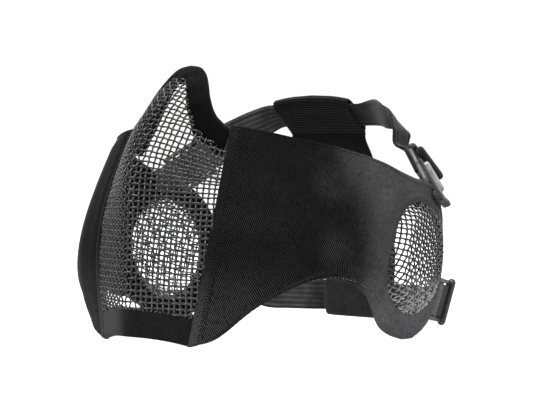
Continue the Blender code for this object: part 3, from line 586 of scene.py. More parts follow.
def mottled(scale, detail, roughness, change, tones, gloss=None, grain=None):
    # Noise changes between two tones; gloss is a roughness and its share of the noise, grain a bump's
    # scale and depth
    def finish(net):
        patch = net.noise(scale, detail, roughness)
        made = {"Base Color": patch.band(*change).blend(grey(tones[0]), grey(tones[1]))}
        if gloss:
            made["Roughness"] = gloss[0] + gloss[1] * patch
        if grain:
            made["bump"] = (net.noise(grain[0]), grain[1])
        return made
    return finish


def shadedLiningFinish(net):
    # Smooth knit on the wearer's side, near black as painted shade inside the mask
    u, v = net.uv()
    loops = u.ripple(0.0012) * v.ripple(0.0012)
    return {"Base Color": loops.band(-0.6, 0.8).blend(grey(4), grey(16)), "bump": (loops, 0.0001)}


def threadFinish(net):
    # Paler thread behind the front hem
    pale = (net.axis(1) - shift[1]).band(-0.080, -0.060).blend(grey(30), grey(104))
    return {"Base Color": net.noise(900.0).band(0.3, 0.7).blend(grey(12), pale)}


# The pale bar's tone, partly metallic, is a painted highlight on the buckle
paleBarHighlight = mottled(60.0, 4.0, 0.7, (0.35, 0.7), (96, 150), (0.3, 0.2))
plastic = mottled(150.0, 4.0, 0.6, (0.4, 0.75), (12, 38), (0.36, 0.2), (2400.0, 0.00004))
soft = dict(Roughness=0.95, Specular_IOR_Level=0.02)
coated = dict(Specular_IOR_Level=0.4)
finishes = dict(
    shadedKnitLining=(shadedLiningFinish, soft), barPaintedHighlight=(paleBarHighlight, dict(Metallic=0.4)),
    wovenCloth=(clothFinish(26, 0, 1.0, 1.0), soft), hemCloth=(clothFinish(30, 1, 0.0, 1.8), soft),
    sewingThread=(threadFinish, soft), bindingCloth=(bindingFinish, soft), ribKnit=(trimFinish, soft),
    ribbedElastic=(elasticFinish(7, 50, 96, 98), soft), tabWebbing=(elasticFinish(18, 84, 120, 50), soft),
    bandElastic=(bandFinish, soft), coatedWire=(wireFinish(30), coated),
    coatedEarWire=(wireFinish(124), coated), mouldedPlastic=(plastic, dict(Specular_IOR_Level=0.45)))
looks = {name: makeMaterial(name, build, **fixed) for name, (build, fixed) in finishes.items()}
print("materials made:", len(looks))


# Wire front: a woven net of round coated wire, bent over the ridge

wire = dict(pitch=0.00300, radius=0.00046, swell=0.22, sway=0.00012, steps=4, sides=6, under=0.0014,
            reach=0.072, halfWidth=0.046)


def insidePolygon(x, z, corners):
    # Even and odd crossings of a level ray with the polygon's sides
    ax, az = corners[:, 0], corners[:, 1]
    bx, bz = np.roll(ax, -1), np.roll(az, -1)
    x, z = x[..., None], z[..., None]
    crosses = (az > z) != (bz > z)
    slope = (bx - ax) / np.where(bz == az, 1e-12, bz - az)
    return (crosses & (x < ax + slope * (z - az))).sum(-1) % 2 == 1


def frontSheet():
    # Rows are cut by planes square to the ridge, points on them stand at equal lengths from it
    step = wire["pitch"] / wire["steps"]
    height = np.linspace(0.004, peakHeight, 1500)
    ridge = np.stack([ridgeLine(height)[0], height], -1)
    run = lengthAlong(ridge)
    rowCount = int(run[-1] / step)
    at = np.arange(rowCount) * step
    z0 = np.interp(at, run, height)
    y0 = ridgeLine(z0)[0]
    lean = np.interp(at, run, np.gradient(ridge[:, 0], height))
    columns = int(wire["reach"] / step)
    across = np.linspace(0, wire["halfWidth"], 220)
    z = np.repeat(z0[:, None], len(across), 1)
    small = 0.0002
    for _ in range(12):
        depth = frontPoint(across[None, :], z)[..., 1]
        slope = (frontPoint(across[None, :], z + small)[..., 1] - depth) / small
        miss = z - z0[:, None] + (depth - y0[:, None]) * lean[:, None]
        z = np.clip(z - miss / np.maximum(1 + slope * lean[:, None], 0.3), 0.001, peakHeight - 0.001)
    points = frontPoint(across[None, :] + 0 * z, z)
    run = lengthAlong(points, 1)
    want = np.arange(columns) * step
    half = np.stack([resample(points[r], run[r], want) for r in range(rowCount)])
    half[want[None, :] > run[:, -1:]] = np.nan
    return np.concatenate([half[:, :0:-1] * mirror, half], 1), columns - 1


def frontOutline():
    # Edge of the open net in front view, let in a little under what it is sewn to
    under = wire["under"]
    share = np.linspace(0, 1, 30)
    foot = face["chinArch"] * (1 - share**2) + cloth["bindingHeight"] - under
    bottom = np.stack([share * frontEdge(foot)[0], foot], -1)
    corner = trimInner(60)
    outer = archCurve(60)[0]
    top = (corner + (outer - corner) * (under / cloth["trimWidth"]))[:, [0, 2]]
    side = np.linspace(foot[-1], top[0, 1], 60)
    seam = np.stack([frontEdge(side)[0] + under * 0.8, side], -1)
    right = np.concatenate([bottom, seam, top])
    return np.concatenate([right, right[::-1] * np.array([-1, 1])])


def wireRuns(points, normals, offset, keep, radius, sides):
    # One tube for each unbroken stretch of kept samples, pushed over and under along the normal
    keep = keep & np.isfinite(points).all(-1)
    edges = np.flatnonzero(np.diff(np.concatenate([[False], keep, [False]]).astype(int)))
    made = []
    for start, stop in zip(edges[::2], edges[1::2]):
        if stop - start < 4:
            continue
        path = points[start:stop] + normals[start:stop] * offset[start:stop, None]
        along = unit(np.gradient(path, axis=0))
        side = unit(np.cross(along, normals[start:stop]))
        up = np.cross(side, along)
        turn = np.linspace(0, math.tau, sides, endpoint=False)
        ring = side[:, None] * np.cos(turn)[:, None] + up[:, None] * np.sin(turn)[:, None]
        grid = path[:, None] + ring * radius[start:stop, None, None]
        made.append(shell(closeEnds(grid)))
    return made


def wovenNet(sheet, keep, middle, steps):
    # Over and under: cosine of the place between crossings, opposite on the two sets of wires; the whole
    # net sways sideways by sums of sines
    filled = np.nan_to_num(sheet)
    down, across = np.gradient(filled, axis=0), np.gradient(filled, axis=1)
    normals = unit(np.cross(down, across))
    rows, columns = np.indices(sheet.shape[:2])
    swayRow = np.sin(rows / steps * 1.9 + 2.0 * np.sin(columns / steps * 0.8)) * wire["sway"]
    swayColumn = np.sin(columns / steps * 2.3 + 2.0 * np.sin(rows / steps * 0.7)) * wire["sway"]
    sheet = sheet + unit(down) * swayRow[..., None] + unit(across) * swayColumn[..., None]

    def wires(points, normals, keep, at, first, start, sign):
        # Every steps-th line from the first, over and under in turn from the start
        fat = wire["radius"] * (1 + wire["swell"] * 0.5 * (1 + np.cos(math.tau * at)))
        made = []
        for i in range(first, len(points), steps):
            side = -sign if ((i - start) // steps) % 2 else sign
            offset = wire["radius"] * side * np.cos(math.pi * at[i])
            made += wireRuns(points[i], normals[i], offset, keep[i], fat[i], wire["sides"])
        return made
    level = wires(sheet, normals, keep, (columns - middle) / steps, 0, 0, 1)
    turned = [np.swapaxes(grid, 0, 1) for grid in (sheet, normals, keep, rows / steps)]
    return level + wires(*turned, middle % steps, middle, -1)


sheet, middle = frontSheet()
filled = np.nan_to_num(sheet, nan=9)
inNet = insidePolygon(filled[..., 0], filled[..., 2], frontOutline())
makePiece("front_wire_net", wovenNet(sheet, inNet, middle, wire["steps"]), "coatedWire", ["front_mesh"])


# Ear cups' domed nets

earNet = dict(pitch=0.00285, turn=18, steps=4, under=0.0012, wall=1.15, soft=0.0009, front=1.0, rear=0.42,
              reach=0.042)


def earRaise(share, back):
    # Lesser of a wall that climbs from the rim and a roof that sinks towards the rear, rounded between
    wall = (1 - share) * (cup["holeLength"] + cup["holeHeight"]) / 4 * earNet["wall"]
    sink = np.clip(0.5 + back / cup["holeLength"], 0, 1)
    roof = cup["dome"] * (earNet["front"] + (earNet["rear"] - earNet["front"]) * sink)
    return 0.5 * (wall + roof - np.sqrt((wall - roof)**2 + earNet["soft"]**2))


def earSheet():
    # Square net turned in side view and laid over the bulge in steps of equal length from its middle out
    step = earNet["pitch"] / earNet["steps"]
    count = int(earNet["reach"] / step)
    at = np.arange(-count, count + 1) * step
    a, b = np.meshgrid(at, at, indexing="ij")
    c, s = math.cos(math.radians(earNet["turn"])), math.sin(math.radians(earNet["turn"]))
    back, up = b * c + a * s, a * c - b * s
    halfBack, halfUp = cup["holeLength"] / 2, cup["holeHeight"] / 2
    share = np.linspace(0, 1.2, 400)
    middleSize = (halfBack + halfUp) / 2
    raised = earRaise(share, -halfBack * share)
    run = lengthAlong(np.stack([share * middleSize, raised], -1)) / middleSize
    flat = np.hypot(back / halfBack, up / halfUp)
    drawn = np.interp(flat, run, share)
    ratio = drawn / np.maximum(flat, 1e-6)
    back, up = back * ratio, up * ratio
    inside = drawn < 1 + earNet["under"] / halfBack
    place, level = cheekAt(np.clip(back, -0.031, 0.031), np.clip(up + holeMiddle, 0.008, 0.0765))
    points = cheek(place, level)
    points[..., 0] += earRaise(drawn, back) - cloth["thickness"] / 2
    points[..., 1], points[..., 2] = back, up + holeMiddle
    return points, inside, count


sheet, inNet, middle = earSheet()
makePair("ear_wire_net", wovenNet(sheet, inNet, middle, earNet["steps"]), "coatedEarWire", "ear_mesh")


# Padded cloth cheeks: rays run from the ear hole's edge out to the sewn edges

panel = dict(around=480, outward=64, roll=7, ease=0.12, hemWidth=0.0062, hemPuff=0.0004, groove=0.0004,
             grooveWidth=0.0009, topEdge=0.0020, puff=0.0008, lip=0.0006, lipAt=0.0022, lipWidth=0.0016,
             fullFromEdge=(0.004, 0.022), fullFromHole=(0.0, 0.012), creasedFromEdge=(0.006, 0.016),
             creasedFromHole=(0.004, 0.014), fill=0.25)


def cheekOutline(count):
    # Closed loop in place and level: hem line up, top edge back, rear down, lower edge forward
    sideCounts = [int(count * share) for share in (0.20, 0.36, 0.06)]
    sideCounts.append(count - sum(sideCounts))
    level = np.linspace(0, 1, sideCounts[0], endpoint=False)
    front = np.stack([hemPlace(level), level], -1)
    first, last = hemPlace(np.array(1.0)), hemPlace(np.array(0.0))
    place = np.linspace(first, lastRow, sideCounts[1], endpoint=False)
    top = np.stack([place, np.ones_like(place)], -1)
    level = np.linspace(1, 0, sideCounts[2], endpoint=False)
    rear = np.stack([np.full_like(level, lastRow), level], -1)
    place = np.linspace(lastRow, last, sideCounts[3], endpoint=False)
    low = np.stack([place, np.zeros_like(place)], -1)
    side = np.repeat([0, 1, 2, 3], sideCounts)
    return np.concatenate([front, top, rear, low]), side


creases = [
    # Soft ridges and hollows: middle's back and up, half length, half width, lean in degrees, height
    (-0.0420, 0.0680, 0.0140, 0.0040, 75, 0.0006), (-0.0350, 0.0400, 0.0200, 0.0040, 84, 0.0010),
    (-0.0440, 0.0360, 0.0180, 0.0045, 80, -0.0009), (-0.0600, 0.0720, 0.0120, 0.0050, 40, -0.0004),
    (-0.0870, 0.0200, 0.0090, 0.0030, 20, 0.0006), (-0.0220, 0.0760, 0.0110, 0.0035, 35, 0.0005),
    (-0.0160, 0.0160, 0.0110, 0.0030, 80, 0.0005), (-0.0720, 0.0450, 0.0160, 0.0060, 70, 0.0004),
]


def wrinkles(points):
    # Sum of bumps, each height * exp(-(along / length)**2 - (across / width)**2) in side view
    raised = np.zeros(points.shape[:-1])
    for back, up, length, width, lean, height in creases:
        c, s = math.cos(math.radians(lean)), math.sin(math.radians(lean))
        y, z = points[..., 1] - back, points[..., 2] - up
        raised += height * np.exp(-((y * c + z * s) / length)**2 - ((z * c - y * s) / width)**2)
    return raised


stitch = dict(pitch=0.0026, drawn=0.62, radius=0.00020, hemReach=0.0016, lowReach=0.0030)


def stitchRow(outside, normals, fromEdge, chosen, reach):
    # Short threads along the line of the panel that lies this far inside the chosen side of its edge
    rows = np.flatnonzero(chosen)[2:-2]
    first = np.argmax(fromEdge[rows] > reach, axis=1)
    before, after = fromEdge[rows, first - 1], fromEdge[rows, first]
    share = ((reach - before) / (after - before))[:, None]
    line = outside[rows, first - 1] * (1 - share) + outside[rows, first] * share
    run = lengthAlong(line)
    at = np.arange(0, run[-1], stitch["pitch"] / 10)
    line, normal = resample(line, run, at), unit(resample(normals[rows, first], run, at))
    return wireRuns(line, normal, 0 * at, at / stitch["pitch"] % 1 < stitch["drawn"],
                    stitch["radius"] + 0 * at, wire["sides"])


def cheekRays():
    # Straight rays in place and level from the sewn edges to the ear hole, eased towards both ends
    outer, side = cheekOutline(panel["around"])
    toMiddle = cheek(outer[:, 0], outer[:, 1])[:, 1:] - np.array([0, holeMiddle])
    angle = np.unwrap(np.arctan2(toMiddle[:, 1] / cup["holeHeight"], toMiddle[:, 0] / cup["holeLength"]))
    back = cup["holeLength"] / 2 * np.cos(angle)
    hole = np.stack(cheekAt(back, cup["holeHeight"] / 2 * np.sin(angle) + holeMiddle), -1)
    ease = np.linspace(0, 1, panel["outward"])
    ease = ease - panel["ease"] * np.sin(math.tau * ease) / math.pi
    return outer[:, None] + (hole - outer)[:, None] * ease[None, :, None], side


def panelRaise(points, fromEdge, fromHole, low):
    # Hem puffed between its fold and its stitches, a groove, the panel's own filling, creases and a lip
    kernel = np.hanning(15)
    low = np.convolve(np.concatenate([low[-7:], low, low[:7]]), kernel / kernel.sum(), "valid")
    width = panel["topEdge"] + (panel["hemWidth"] - panel["topEdge"]) * low[:, None]
    hem = np.sin(math.pi * np.clip(fromEdge / width, 0, 1)) * panel["hemPuff"]
    groove = np.exp(-((fromEdge - width) / panel["grooveWidth"])**2) * panel["groove"]
    filling = panel["puff"] * smooth(fromEdge, *panel["fullFromEdge"])
    filling = filling * smooth(fromHole, *panel["fullFromHole"])
    creased = wrinkles(points) * smooth(fromEdge, *panel["creasedFromEdge"])
    creased = creased * smooth(fromHole, *panel["creasedFromHole"])
    lip = panel["lip"] * np.exp(-((fromHole - panel["lipAt"]) / panel["lipWidth"])**2)
    return hem - groove + (filling + creased) + lip


def cheekShell(sag):
    # Outer face, half-round roll at the hole, inner face, half-round roll at the sewn edge; and the stitches
    flat, side = cheekRays()
    place, level = flat[..., 0], flat[..., 1]
    points, normals = cheek(place, level), cheekNormal(place, level)
    points[..., 2] -= sag * np.interp(place, np.arange(len(rightSag)), rightSag) * (1 - level)**2
    fromEdge = lengthAlong(points, 1)
    raised = panelRaise(points, fromEdge, fromEdge[:, -1:] - fromEdge, (side == 3).astype(float))
    outside = points + normals * raised[..., None]
    half = cloth["thickness"] / 2
    inside = points[:, ::3] - normals[:, ::3] * (2 * half)
    turn = np.linspace(0, math.pi, panel["roll"] + 2)[1:-1]

    def roll(edge, beside, normal):
        # Cosine along the normal and sine away from the panel, round a middle half a thickness in
        middle, away = edge - normal * half, unit(edge - beside)
        return np.stack([middle + normal * half * math.cos(t) + away * half * math.sin(t) for t in turn], 1)
    holeRoll = roll(points[:, -1], points[:, -2], normals[:, -1])
    edgeRoll = roll(points[:, 0], points[:, 1], normals[:, 0])
    grid = np.concatenate([outside, holeRoll, inside[:, ::-1], edgeRoll[:, ::-1]], 1)
    # UV: length along the middle of the cheek and height, drawn straight back over the inner face
    run = np.linspace(0, lastRow, 400)
    along = unit(cheek(place + 0.02, 0.5) - cheek(place - 0.02, 0.5))
    beside = np.sum((points - cheek(place, 0.5))[..., :2] * along[..., :2], -1)
    uv = np.stack([np.interp(place, run, lengthAlong(cheek(run, 0.5))) + beside, points[..., 2]], -1)
    fold = np.linspace(0, 1, grid.shape[1] - panel["outward"])[None, :, None]
    uv = np.concatenate([uv, uv[:, -1:] + (uv[:, :1] - uv[:, -1:]) * fold], 1)
    uv = np.pad(uv, ((0, 1), (0, 1), (0, 0)), "wrap")
    stitched = [stitchRow(outside, normals, fromEdge, side == number, reach)
                for number, reach in ((0, stitch["hemReach"]), (3, stitch["lowReach"]))]
    return [shell(grid, uv, (True, True))], sum(stitched, [])


for (word, turnOver), sag in zip(sides, (0.0, 1.0)):
    parts, stitches = cheekShell(sag)
    piece = makePiece("padded_cheek_" + word, turnOver(parts), "wovenCloth", ["cheek_" + word])
    makePiece("hem_stitches_" + word, turnOver(stitches), "sewingThread", ())
    # Inner faces get the lining, its near-black tone painted shade inside the mask: the columns of the
    # wrapped grid behind the hole's roll
    piece.data.materials.append(looks["shadedKnitLining"])
    columns = len(piece.data.polygons) // panel["around"]
    column = np.tile(np.arange(columns), panel["around"])
    inner = (column >= panel["outward"] + panel["roll"]) & (column < columns - panel["roll"] - 1)
    piece.data.polygons.foreach_set("material_index", inner.astype(np.int32))


# Front hems: the folded strip between the wire front and the cheek

frontHem = dict(rows=120, around=36, power=3.2, crown=0.0004, end=0.0006)


def hemStrip():
    # Superellipse section, set between the seam and the hem line at each level
    level = np.linspace(0, 1, frontHem["rows"])
    share, sunk = section(frontHem)
    place = hemPlace(level)[:, None] * (share * (1 - cloth["gap"] / cloth["hemWidth"]))[None, :]
    levels = np.broadcast_to(level[:, None], place.shape)
    normal = cheekNormal(place, np.clip(levels, 0.01, 0.99))
    crown = frontHem["crown"] * np.clip(1 + 2 * sunk, 0, 1) * np.sin(math.pi * share)
    offset = cloth["hemThickness"] * sunk + crown
    return capped(cheek(place, levels) + normal * offset[None, :, None], 3, frontHem["end"])


makePair("front_hem_strip", [hemStrip()], "hemCloth", "front_hem")


# Padded trim over the nose

trim = dict(rows=220, around=44, power=2.6, end=0.0008, fill=0.5)


def noseTrim():
    # Superellipse across the trim, carried over the arch from seam to seam
    outer, inner = archCurve(trim["rows"] // 2)[0], trimInner(trim["rows"] // 2)
    outer[0, 0] -= cloth["gap"]
    inner[0, 0] -= cloth["gap"]
    outer, inner = (np.concatenate([edge[:-1] * mirror, edge[::-1]]) for edge in (outer, inner))
    along = unit(np.gradient(outer + inner, axis=0))
    normal = unit(np.cross(inner - outer, along))
    share, sunk = section(trim)
    crown = cloth["trimProud"] * np.sin(math.pi * (0.1 + 0.8 * share))
    pad = np.clip(np.abs(np.linspace(-1, 1, len(outer))) / cloth["trimPadSpread"], 0, 1)
    thick = cloth["trimThickness"] + (cloth["trimPad"] - cloth["trimThickness"]) * pad
    offset = crown + thick[:, None] * sunk
    across = (inner - outer)[:, None] * share[None, :, None]
    return capped(outer[:, None] + across + normal[:, None] * offset[..., None], 3, trim["end"])


trimPiece = makePiece("padded_nose_trim", [noseTrim()], "ribKnit", ["nose_trim"])


# Chin binding: a folded band of cloth under the wire front

binding = dict(columns=160, around=40, power=4.0, under=0.0009, end=0.0004)


def chinBinding():
    # Superellipse section, upright between the lower edge and the net
    share = np.linspace(-1, 1, binding["columns"])
    level, sunk = section(binding)
    foot = face["chinArch"] * (1 - share**2)
    height = foot[:, None] + level[None, :] * (cloth["bindingHeight"] - cloth["gap"])
    half = frontEdge(height)[0] + binding["under"]
    across, small = share[:, None] * half, 0.0005
    points = frontPoint(across, height)
    up = frontPoint(across, height + small) - frontPoint(across, height - small)
    normal = unit(np.cross(np.gradient(points, axis=0), up))
    offset = cloth["bindingThickness"] * sunk
    return capped(points + normal * offset[None, :, None], 2, binding["end"])


makePiece("chin_binding_band", [chinBinding()], "bindingCloth", ["chin_binding"])


# Harness: buckles, tabs, straps and the back band

buckle = dict(length=0.0260, width=0.0240, thickness=0.0028, bar=0.0034, rail=0.0024, railShort=0.001,
              lip=0.0024, lipShort=0.0010, lipShare=0.9, standoff=0.0025)
upperLeft = dict(turn=38, level=1.0, point=(-0.62, 0.20, 0.75), face=(0.72, 0.42, 0.48), layer=1)
upperRight = dict(turn=0, level=1.0, point=(-0.34, 0.72, 0.48), face=(0.84, 0.54, 0.00), layer=-1)
lowerBoth = dict(turn=57, level=0.0, point=(-0.25, 0.95, -0.17), face=(0.87, 0.38, -0.23), layer=-1)
# Middle lines: out, back and up as shares, then the way to the strap's upper edge; the right-hand
# frame and route are given as seen in a mirror
leftRoute = [(0.690, 0.55, 0.840, 0.18, -0.96, 0.22), (0.676, 0.58, 0.910, 0.12, -0.98, 0.10),
             (0.618, 0.64, 0.958, 0.26, -0.86, 0.38), (0.500, 0.74, 0.985, 0.28, -0.70, 0.62)]
rightRoute = [(0.783, 0.565, 0.874, 0.14, -0.22, 0.96), (0.663, 0.680, 0.928, 0.20, -0.42, 0.88),
              (0.538, 0.790, 0.972, 0.26, -0.62, 0.74)]
lowerRoute = [(0.690, 0.79, 1.04, 0.06, 0.06, 1.00), (0.560, 0.87, 1.00, 0.02, 0.02, 1.00),
              (0.400, 0.950, 1.00, 0.00, 0.00, 1.00)]
band = dict(line=[(0.33, 0.885), (0.52, 0.79), (0.78, 0.64), (1.05, 0.45), (1.13, 0.28), (1.10, 0.17)],
            shift=0.0138, footShift=0.0040, slant=12, arch=0.0026, ribPitch=0.0013,
            ribHeight=0.00016, edge=0.0004, around=56, power=6, end=0.0004)
strap = dict(points=420, ribs=6, ribHeight=0.00018, around=72, power=6, end=0.0003)
tab = dict(around=48, power=5, rows=60, ribs=8, ribHeight=0.00012, end=0.0004)


def innerFace(place, level):
    # The cheek moved in by its thickness, the tab's gap and half the tab
    inset = cloth["thickness"] + harness["tabGap"] + harness["tabThickness"] / 2
    return cheek(place, level) - cheekNormal(place, level) * inset


def buckleFrame(spec):
    # The buckle's middle and axes, beyond the cup's edge and over or under its tab
    place = earRow + spec["turn"] / (cupTurns[1] - cupTurns[0])
    edge = innerFace(place, spec["level"])
    along = unit(np.array(spec["point"], float))
    out = np.array(spec["face"], float)
    out = unit(out - along * out.dot(along))
    reach = buckle["standoff"] + buckle["length"] / 2
    lift = harness["tabThickness"] / 2 + cloth["gap"] + buckle["thickness"] / 2
    return dict(place=place, level=spec["level"], edge=edge, along=along, face=out,
                across=np.cross(along, out), middle=edge + along * reach + out * lift * spec["layer"])


def barBetween(at, start, stop, width, thickness, power, rounds=4):
    # Straight rounded bar; start and stop are lengths across, along and up from the buckle's middle
    start, stop = (at["middle"] + at["across"] * x + at["along"] * y + at["face"] * z
                   for x, y, z in (start, stop))
    path = np.linspace(start, stop, 12)
    out = np.repeat(at["face"][None], len(path), 0)
    across = np.cross(out, unit(stop - start))
    return sweep(path, across, out, width, thickness, dict(around=24, power=power, end=thickness / 2), rounds)


def buckleBody(at):
    # Two rails, three bars and a rolled thumb lip
    side, end = buckle["width"] / 2 - buckle["rail"] / 2, buckle["length"] / 2
    ledge, short = end - buckle["bar"] / 2, end - buckle["railShort"]
    bars = [((x, -short, 0), (x, short, 0), buckle["rail"]) for x in (-side, side)]
    bars += [((-side, y, 0), (side, y, 0), buckle["bar"]) for y in (-ledge, 0.0, ledge)]
    parts = [barBetween(at, *bar, buckle["thickness"], 3.2) for bar in bars]
    reach, up = buckle["width"] / 2 - buckle["lipShort"], buckle["thickness"] / 2
    lip = (buckle["bar"] * buckle["lipShare"], buckle["lip"] * 2, 2.4)
    return parts + [barBetween(at, (-reach, ledge, up), (reach, ledge, up), *lip)]


def tabStrip(at):
    # Root on the cup's inner side, then flat along the buckle's way; ribs run along it
    step = 0.1
    place, level = at["place"], at["level"]
    rim = cheek(place + step, level) - cheek(place - step, level)
    spread = 2 * step * harness["tabWidth"] / np.linalg.norm(rim)
    across = at["across"] * np.sign(at["across"].dot(rim))
    tall = np.linalg.norm(cheek(place, 1.0) - cheek(place, 0.0))
    inward = (-1 if level > 0.5 else 1) * harness["tabRoot"] / tall
    c, s = roundedProfile(tab["around"], tab["power"])
    share = 0.5 * c
    rows = [innerFace(place + share * spread, level + inward * depth) for depth in (1.0, 0.5, 0.0)]
    for reach in (0, buckle["bar"], buckle["length"] / 2 - buckle["bar"]):
        start = at["edge"] + at["along"] * (buckle["standoff"] + reach)
        rows.append(start + across * share[:, None] * harness["tabWidth"])
    rows, count = np.array(rows), tab["rows"]
    places = np.linspace(0, len(rows) - 1, count)
    rows = curveThrough(rows.reshape(len(rows), -1), places).reshape(count, -1, 3)
    wide = rows[:, np.argmax(c)] - rows[:, np.argmin(c)]
    normal = unit(np.cross(unit(np.gradient(rows.mean(1), axis=0)), wide))
    offset = s * (harness["tabThickness"] / 2 + tab["ribHeight"] * np.cos(math.tau * share * tab["ribs"]))
    return capped(rows + normal[:, None] * offset[None, :, None], 2, tab["end"])


def strapHalf(at, route, back, rise):
    # Straight out from under the middle bar, then the route's shares of half width, depth and height
    drop = buckle["thickness"] / 2 + harness["strapGap"] + harness["strapThickness"] / 2
    reaches = [-buckle["bar"] / 2, buckle["length"] / 4, buckle["length"] / 2,
               buckle["length"] / 2 + harness["strapThickness"]]
    points = [at["middle"] - at["face"] * drop + at["along"] * reach for reach in reaches]
    points += [np.array(row[:3]) * np.array([cup["half"], back, rise]) for row in route]
    edges = [-at["across"]] * len(reaches) + [np.array(row[3:]) for row in route]
    return np.array(points), np.array(edges)


def strapSweep(ends, routes, back, rise, slant, shiftAcross):
    # Smooth route from one buckle through the band's pocket to the other, with lengthwise cords
    points, edges = strapHalf(ends[0], routes[0], back, rise)
    farPoints, farEdges = strapHalf(ends[1], routes[1], back, rise)
    turn = math.radians(slant)
    half, lead = harness["bandWidth"] / 2, harness["lead"]
    across = np.array([math.cos(turn), math.sin(turn), 0])
    steps = np.array([half + lead, half, half / 2, 0, -half / 2, -half, -half - lead])
    middle = np.array([-shiftAcross, back, rise]) + across * steps[:, None]
    last = edges[-1] * np.array([0, 1, 1])
    route = np.concatenate([points, middle, (farPoints * mirror)[::-1]])
    edges = np.concatenate([edges, np.repeat(last[None], len(steps), 0), (farEdges * mirror)[::-1]])
    knots = lengthAlong(route)
    places = np.linspace(0, knots[-1], strap["points"])
    path, edge = curveThrough(route, places, knots), curveThrough(edges, places, knots)
    along = unit(np.gradient(path, axis=0))
    edge = unit(edge - along * np.sum(edge * along, axis=1, keepdims=True))
    normal = np.cross(along, edge)

    def ribs(c):
        return strap["ribHeight"] * np.cos(math.pi * (c * strap["ribs"] + strap["ribs"] + 1))
    return sweep(path, edge, normal, harness["strapWidth"], harness["strapThickness"], strap, 2, ribs)


def pocketFold(at, lean, out):
    # From one face of the strap round its edge, in a half circle, to the other face
    radius = harness["slack"] + (harness["bandThickness"] + harness["strapThickness"]) / 2
    edge = at + lean * harness["strapWidth"] / 2
    turns = np.radians([0, 45, 90, 135, 180])[:, None]
    arc = edge - out * radius * np.cos(turns) + lean * radius * np.sin(turns)
    return [at - out * radius, *arc, at + out * radius]


def backBand():
    # Pocket round the upper strap, the long run, a pocket round the lower one; ribs cross it
    upper = np.array([harness["upperBack"], harness["upperRise"]])
    lower = np.array([harness["lowerBack"], harness["lowerRise"]])
    lean = unit(np.array(leftRoute[-1][4:]))
    upperFold = pocketFold(upper, lean, np.array([lean[1], -lean[0]]))
    lowerFold = pocketFold(lower, np.array([0.0, -1.0]), np.array([-1.0, 0.0]))
    spare = harness["pocket"] - harness["strapWidth"] / 2
    profile = [upperFold[0] - lean * spare, *upperFold, upperFold[-1] - lean * harness["strapWidth"] / 2]
    profile += [np.array([upper[0] + (lower[0] - upper[0]) * back, lower[1] + (upper[1] - lower[1]) * up])
                for back, up in band["line"]]
    profile += [*lowerFold, lowerFold[-1] + np.array([0.0, spare])]
    profile = np.array(profile)
    knots = lengthAlong(profile)
    count = int(knots[-1] / band["ribPitch"] * 6)
    places = np.linspace(0, knots[-1], count)
    line = curveThrough(profile, places, knots)
    foot, top = upper[1] - lean[1] * harness["pocket"], lower[1] + harness["pocket"]
    share = np.clip((line[:, 1] - top) / (foot - top), 0, 1)
    turn = np.radians(band["slant"]) * share
    middle = -band["footShift"] - (band["shift"] - band["footShift"]) * share
    path = np.stack([middle, line[:, 0], line[:, 1]], -1)
    across = np.stack([np.cos(turn), np.sin(turn), 0 * turn], -1)
    along = unit(np.gradient(np.stack([0 * middle, line[:, 0], line[:, 1]], -1), axis=0))
    normal = unit(np.cross(across, along))
    rib = np.cos(math.tau * places / band["ribPitch"])
    thickness = harness["bandThickness"] - 2 * band["ribHeight"] + 2 * band["ribHeight"] * rib
    width = harness["bandWidth"] - band["edge"] + band["edge"] * rib
    points, quads, corners = sweep(path, across, normal, width, thickness, band, 2)
    # The top edge bows up: arch * (1 - (across / half width)**2), fading out below the strap
    beside = (points[:, 0] + band["shift"]) / (harness["bandWidth"] / 2)
    near = smooth(points[:, 2], upper[1] - 0.012, upper[1] + 0.006)
    points[:, 2] += band["arch"] * np.clip(1 - beside**2, 0, 1) * near
    return points, quads, corners


frames = dict(upper=(buckleFrame(upperLeft), buckleFrame(upperRight)), lower=(buckleFrame(lowerBoth),) * 2)
reach = buckle["length"] / 2 - buckle["bar"] / 2
for height, pair in frames.items():
    for (word, turnOver), at in zip(sides, pair):
        makePiece(height + "_lock_" + word, turnOver(buckleBody(at)), "mouldedPlastic",
                  [height + "_buckle_" + word])
        makePiece(height + "_webbing_" + word, turnOver([tabStrip(at)]), "tabWebbing",
                  [height + "_tab_" + word])
        core = barBetween(at, (0, -reach, 0), (0, reach, 0), harness["strapWidth"],
                          harness["strapThickness"], 5)
        makePiece(height + "_strap_core_" + word, turnOver([core]), "ribbedElastic", ())

# At the upper buckles a bight of strap over the middle bar, the webbing's folded end and its run over the
# cup's rim, and a pale slide bar that is a painted highlight. Of each: start, stop, width, thickness, power,
# rounds
extras = dict(
    strap_bight=("ribbedElastic", "elastic", [
        ((-0.0082, 0.0080, 0.0042), (0.0088, -0.0005, 0.0052), 0.0060, 0.0046, 2.6, 5)]),
    webbing_end=("tabWebbing", "webbing", [
        ((-0.0075, -0.0200, 0.0010), (0.0030, -0.0218, 0.0030), 0.0052, 0.0034, 2.8, 5),
        ((-0.0010, 0.0040, 0.0006), (-0.0010, -0.0215, 0.0018), 0.0150, 0.0042, 5, 3)]),
    slide_bar_highlight=("barPaintedHighlight", "buckle_plastic", [
        ((-0.0046, 0.0010, 0.0034), (0.0046, -0.0115, 0.0034), 0.0046, 0.0034, 4, 3)]))
for (word, turnOver), at in zip(sides, frames["upper"]):
    for name, (look, slot, bars) in extras.items():
        parts = [barBetween(at, *bar) for bar in bars]
        makePiece("upper_" + name + "_" + word, turnOver(parts), look, ())
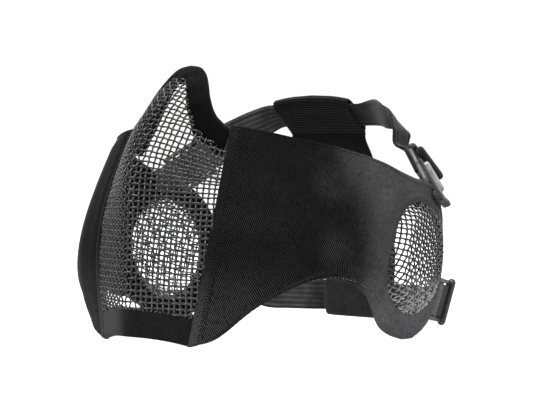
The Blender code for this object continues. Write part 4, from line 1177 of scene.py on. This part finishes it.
for name, routes, slant, aside in (("upper", (leftRoute, rightRoute), band["slant"], band["shift"]),
                                   ("lower", (lowerRoute, lowerRoute), 0, band["footShift"])):
    back, rise = harness[name + "Back"], harness[name + "Rise"]
    strapShell = strapSweep(frames[name], routes, back, rise, slant, aside)
    makePiece(name + "_ribbed_strap", [strapShell], "ribbedElastic", [name + "_strap"])
makePiece("ribbed_back_band", [backBand()], "bandElastic", ["back_band"])


# Floor, light and camera

studio = dict(azimuth=42, elevation=1.3, distance=0.91, focal=1640, sensor=36, imageWidth=533,
              aim=(0, -0.013, 0.0676), floor=6.0, floorDrop=0.0002, world=1.05, lampDistance=1.3)
# Azimuth, elevation, size and power of each lamp
lamps = dict(key_light=(0, 50, 0.6, 30), side_light=(100, 30, 0.5, 8), back_light=(200, 40, 0.7, 12))


aim = np.array(studio["aim"]) + shift
line = np.linspace(-1, 1, 9)
floorGrid = np.stack(np.meshgrid(line, line, [0.0], indexing="ij"), -1)[:, :, 0] * studio["floor"]
floorPoints, floorQuads, _ = shell(floorGrid, wrap=(False, False))
floorMesh = bpy.data.meshes.new("studio_floor")
floorMesh.from_pydata((floorPoints - [0, 0, studio["floorDrop"]]).tolist(), [], floorQuads.tolist())
floor = bpy.data.objects.new("studio_floor", floorMesh)
bpy.context.scene.collection.objects.link(floor)
paleFloor = mottled(3.0, 2.0, 0.5, (0.3, 0.7), (176, 180))
floorMesh.materials.append(makeMaterial("paleFloor", paleFloor, Roughness=0.9, Specular_IOR_Level=0.0,
                                        Emission_Color=(1, 1, 1, 1), Emission_Strength=0.80))


def aimed(name, data, azimuth, elevation, distance):
    # A lamp or camera this far from the mask's middle, in the direction of the two angles, looking at it
    a, e = math.radians(azimuth), math.radians(elevation)
    away = np.array([math.sin(a) * math.cos(e), -math.cos(a) * math.cos(e), math.sin(e)]) * distance
    item = bpy.data.objects.new(name, data)
    item.location = aim + away
    item.rotation_euler = Vector(-away).to_track_quat("-Z", "Y").to_euler()
    bpy.context.scene.collection.objects.link(item)
    return item


for name, (azimuth, elevation, size, power) in lamps.items():
    lamp = bpy.data.lights.new(name, "AREA")
    lamp.shape, lamp.size, lamp.energy = "SQUARE", size, power
    aimed(name, lamp, azimuth, elevation, studio["lampDistance"])

world = bpy.data.worlds.new("studio")
world.use_nodes = True
background = world.node_tree.nodes["Background"].inputs
background["Color"].default_value = (1, 1, 1, 1)
background["Strength"].default_value = studio["world"]
bpy.context.scene.world = world
bpy.context.scene.view_settings.view_transform = "Standard"

camera = bpy.data.cameras.new("camera")
camera.sensor_width = studio["sensor"]
camera.lens = studio["sensor"] * studio["focal"] / studio["imageWidth"]
bpy.context.scene.camera = aimed("camera", camera, studio["azimuth"], studio["elevation"], studio["distance"])

print("scene ready")
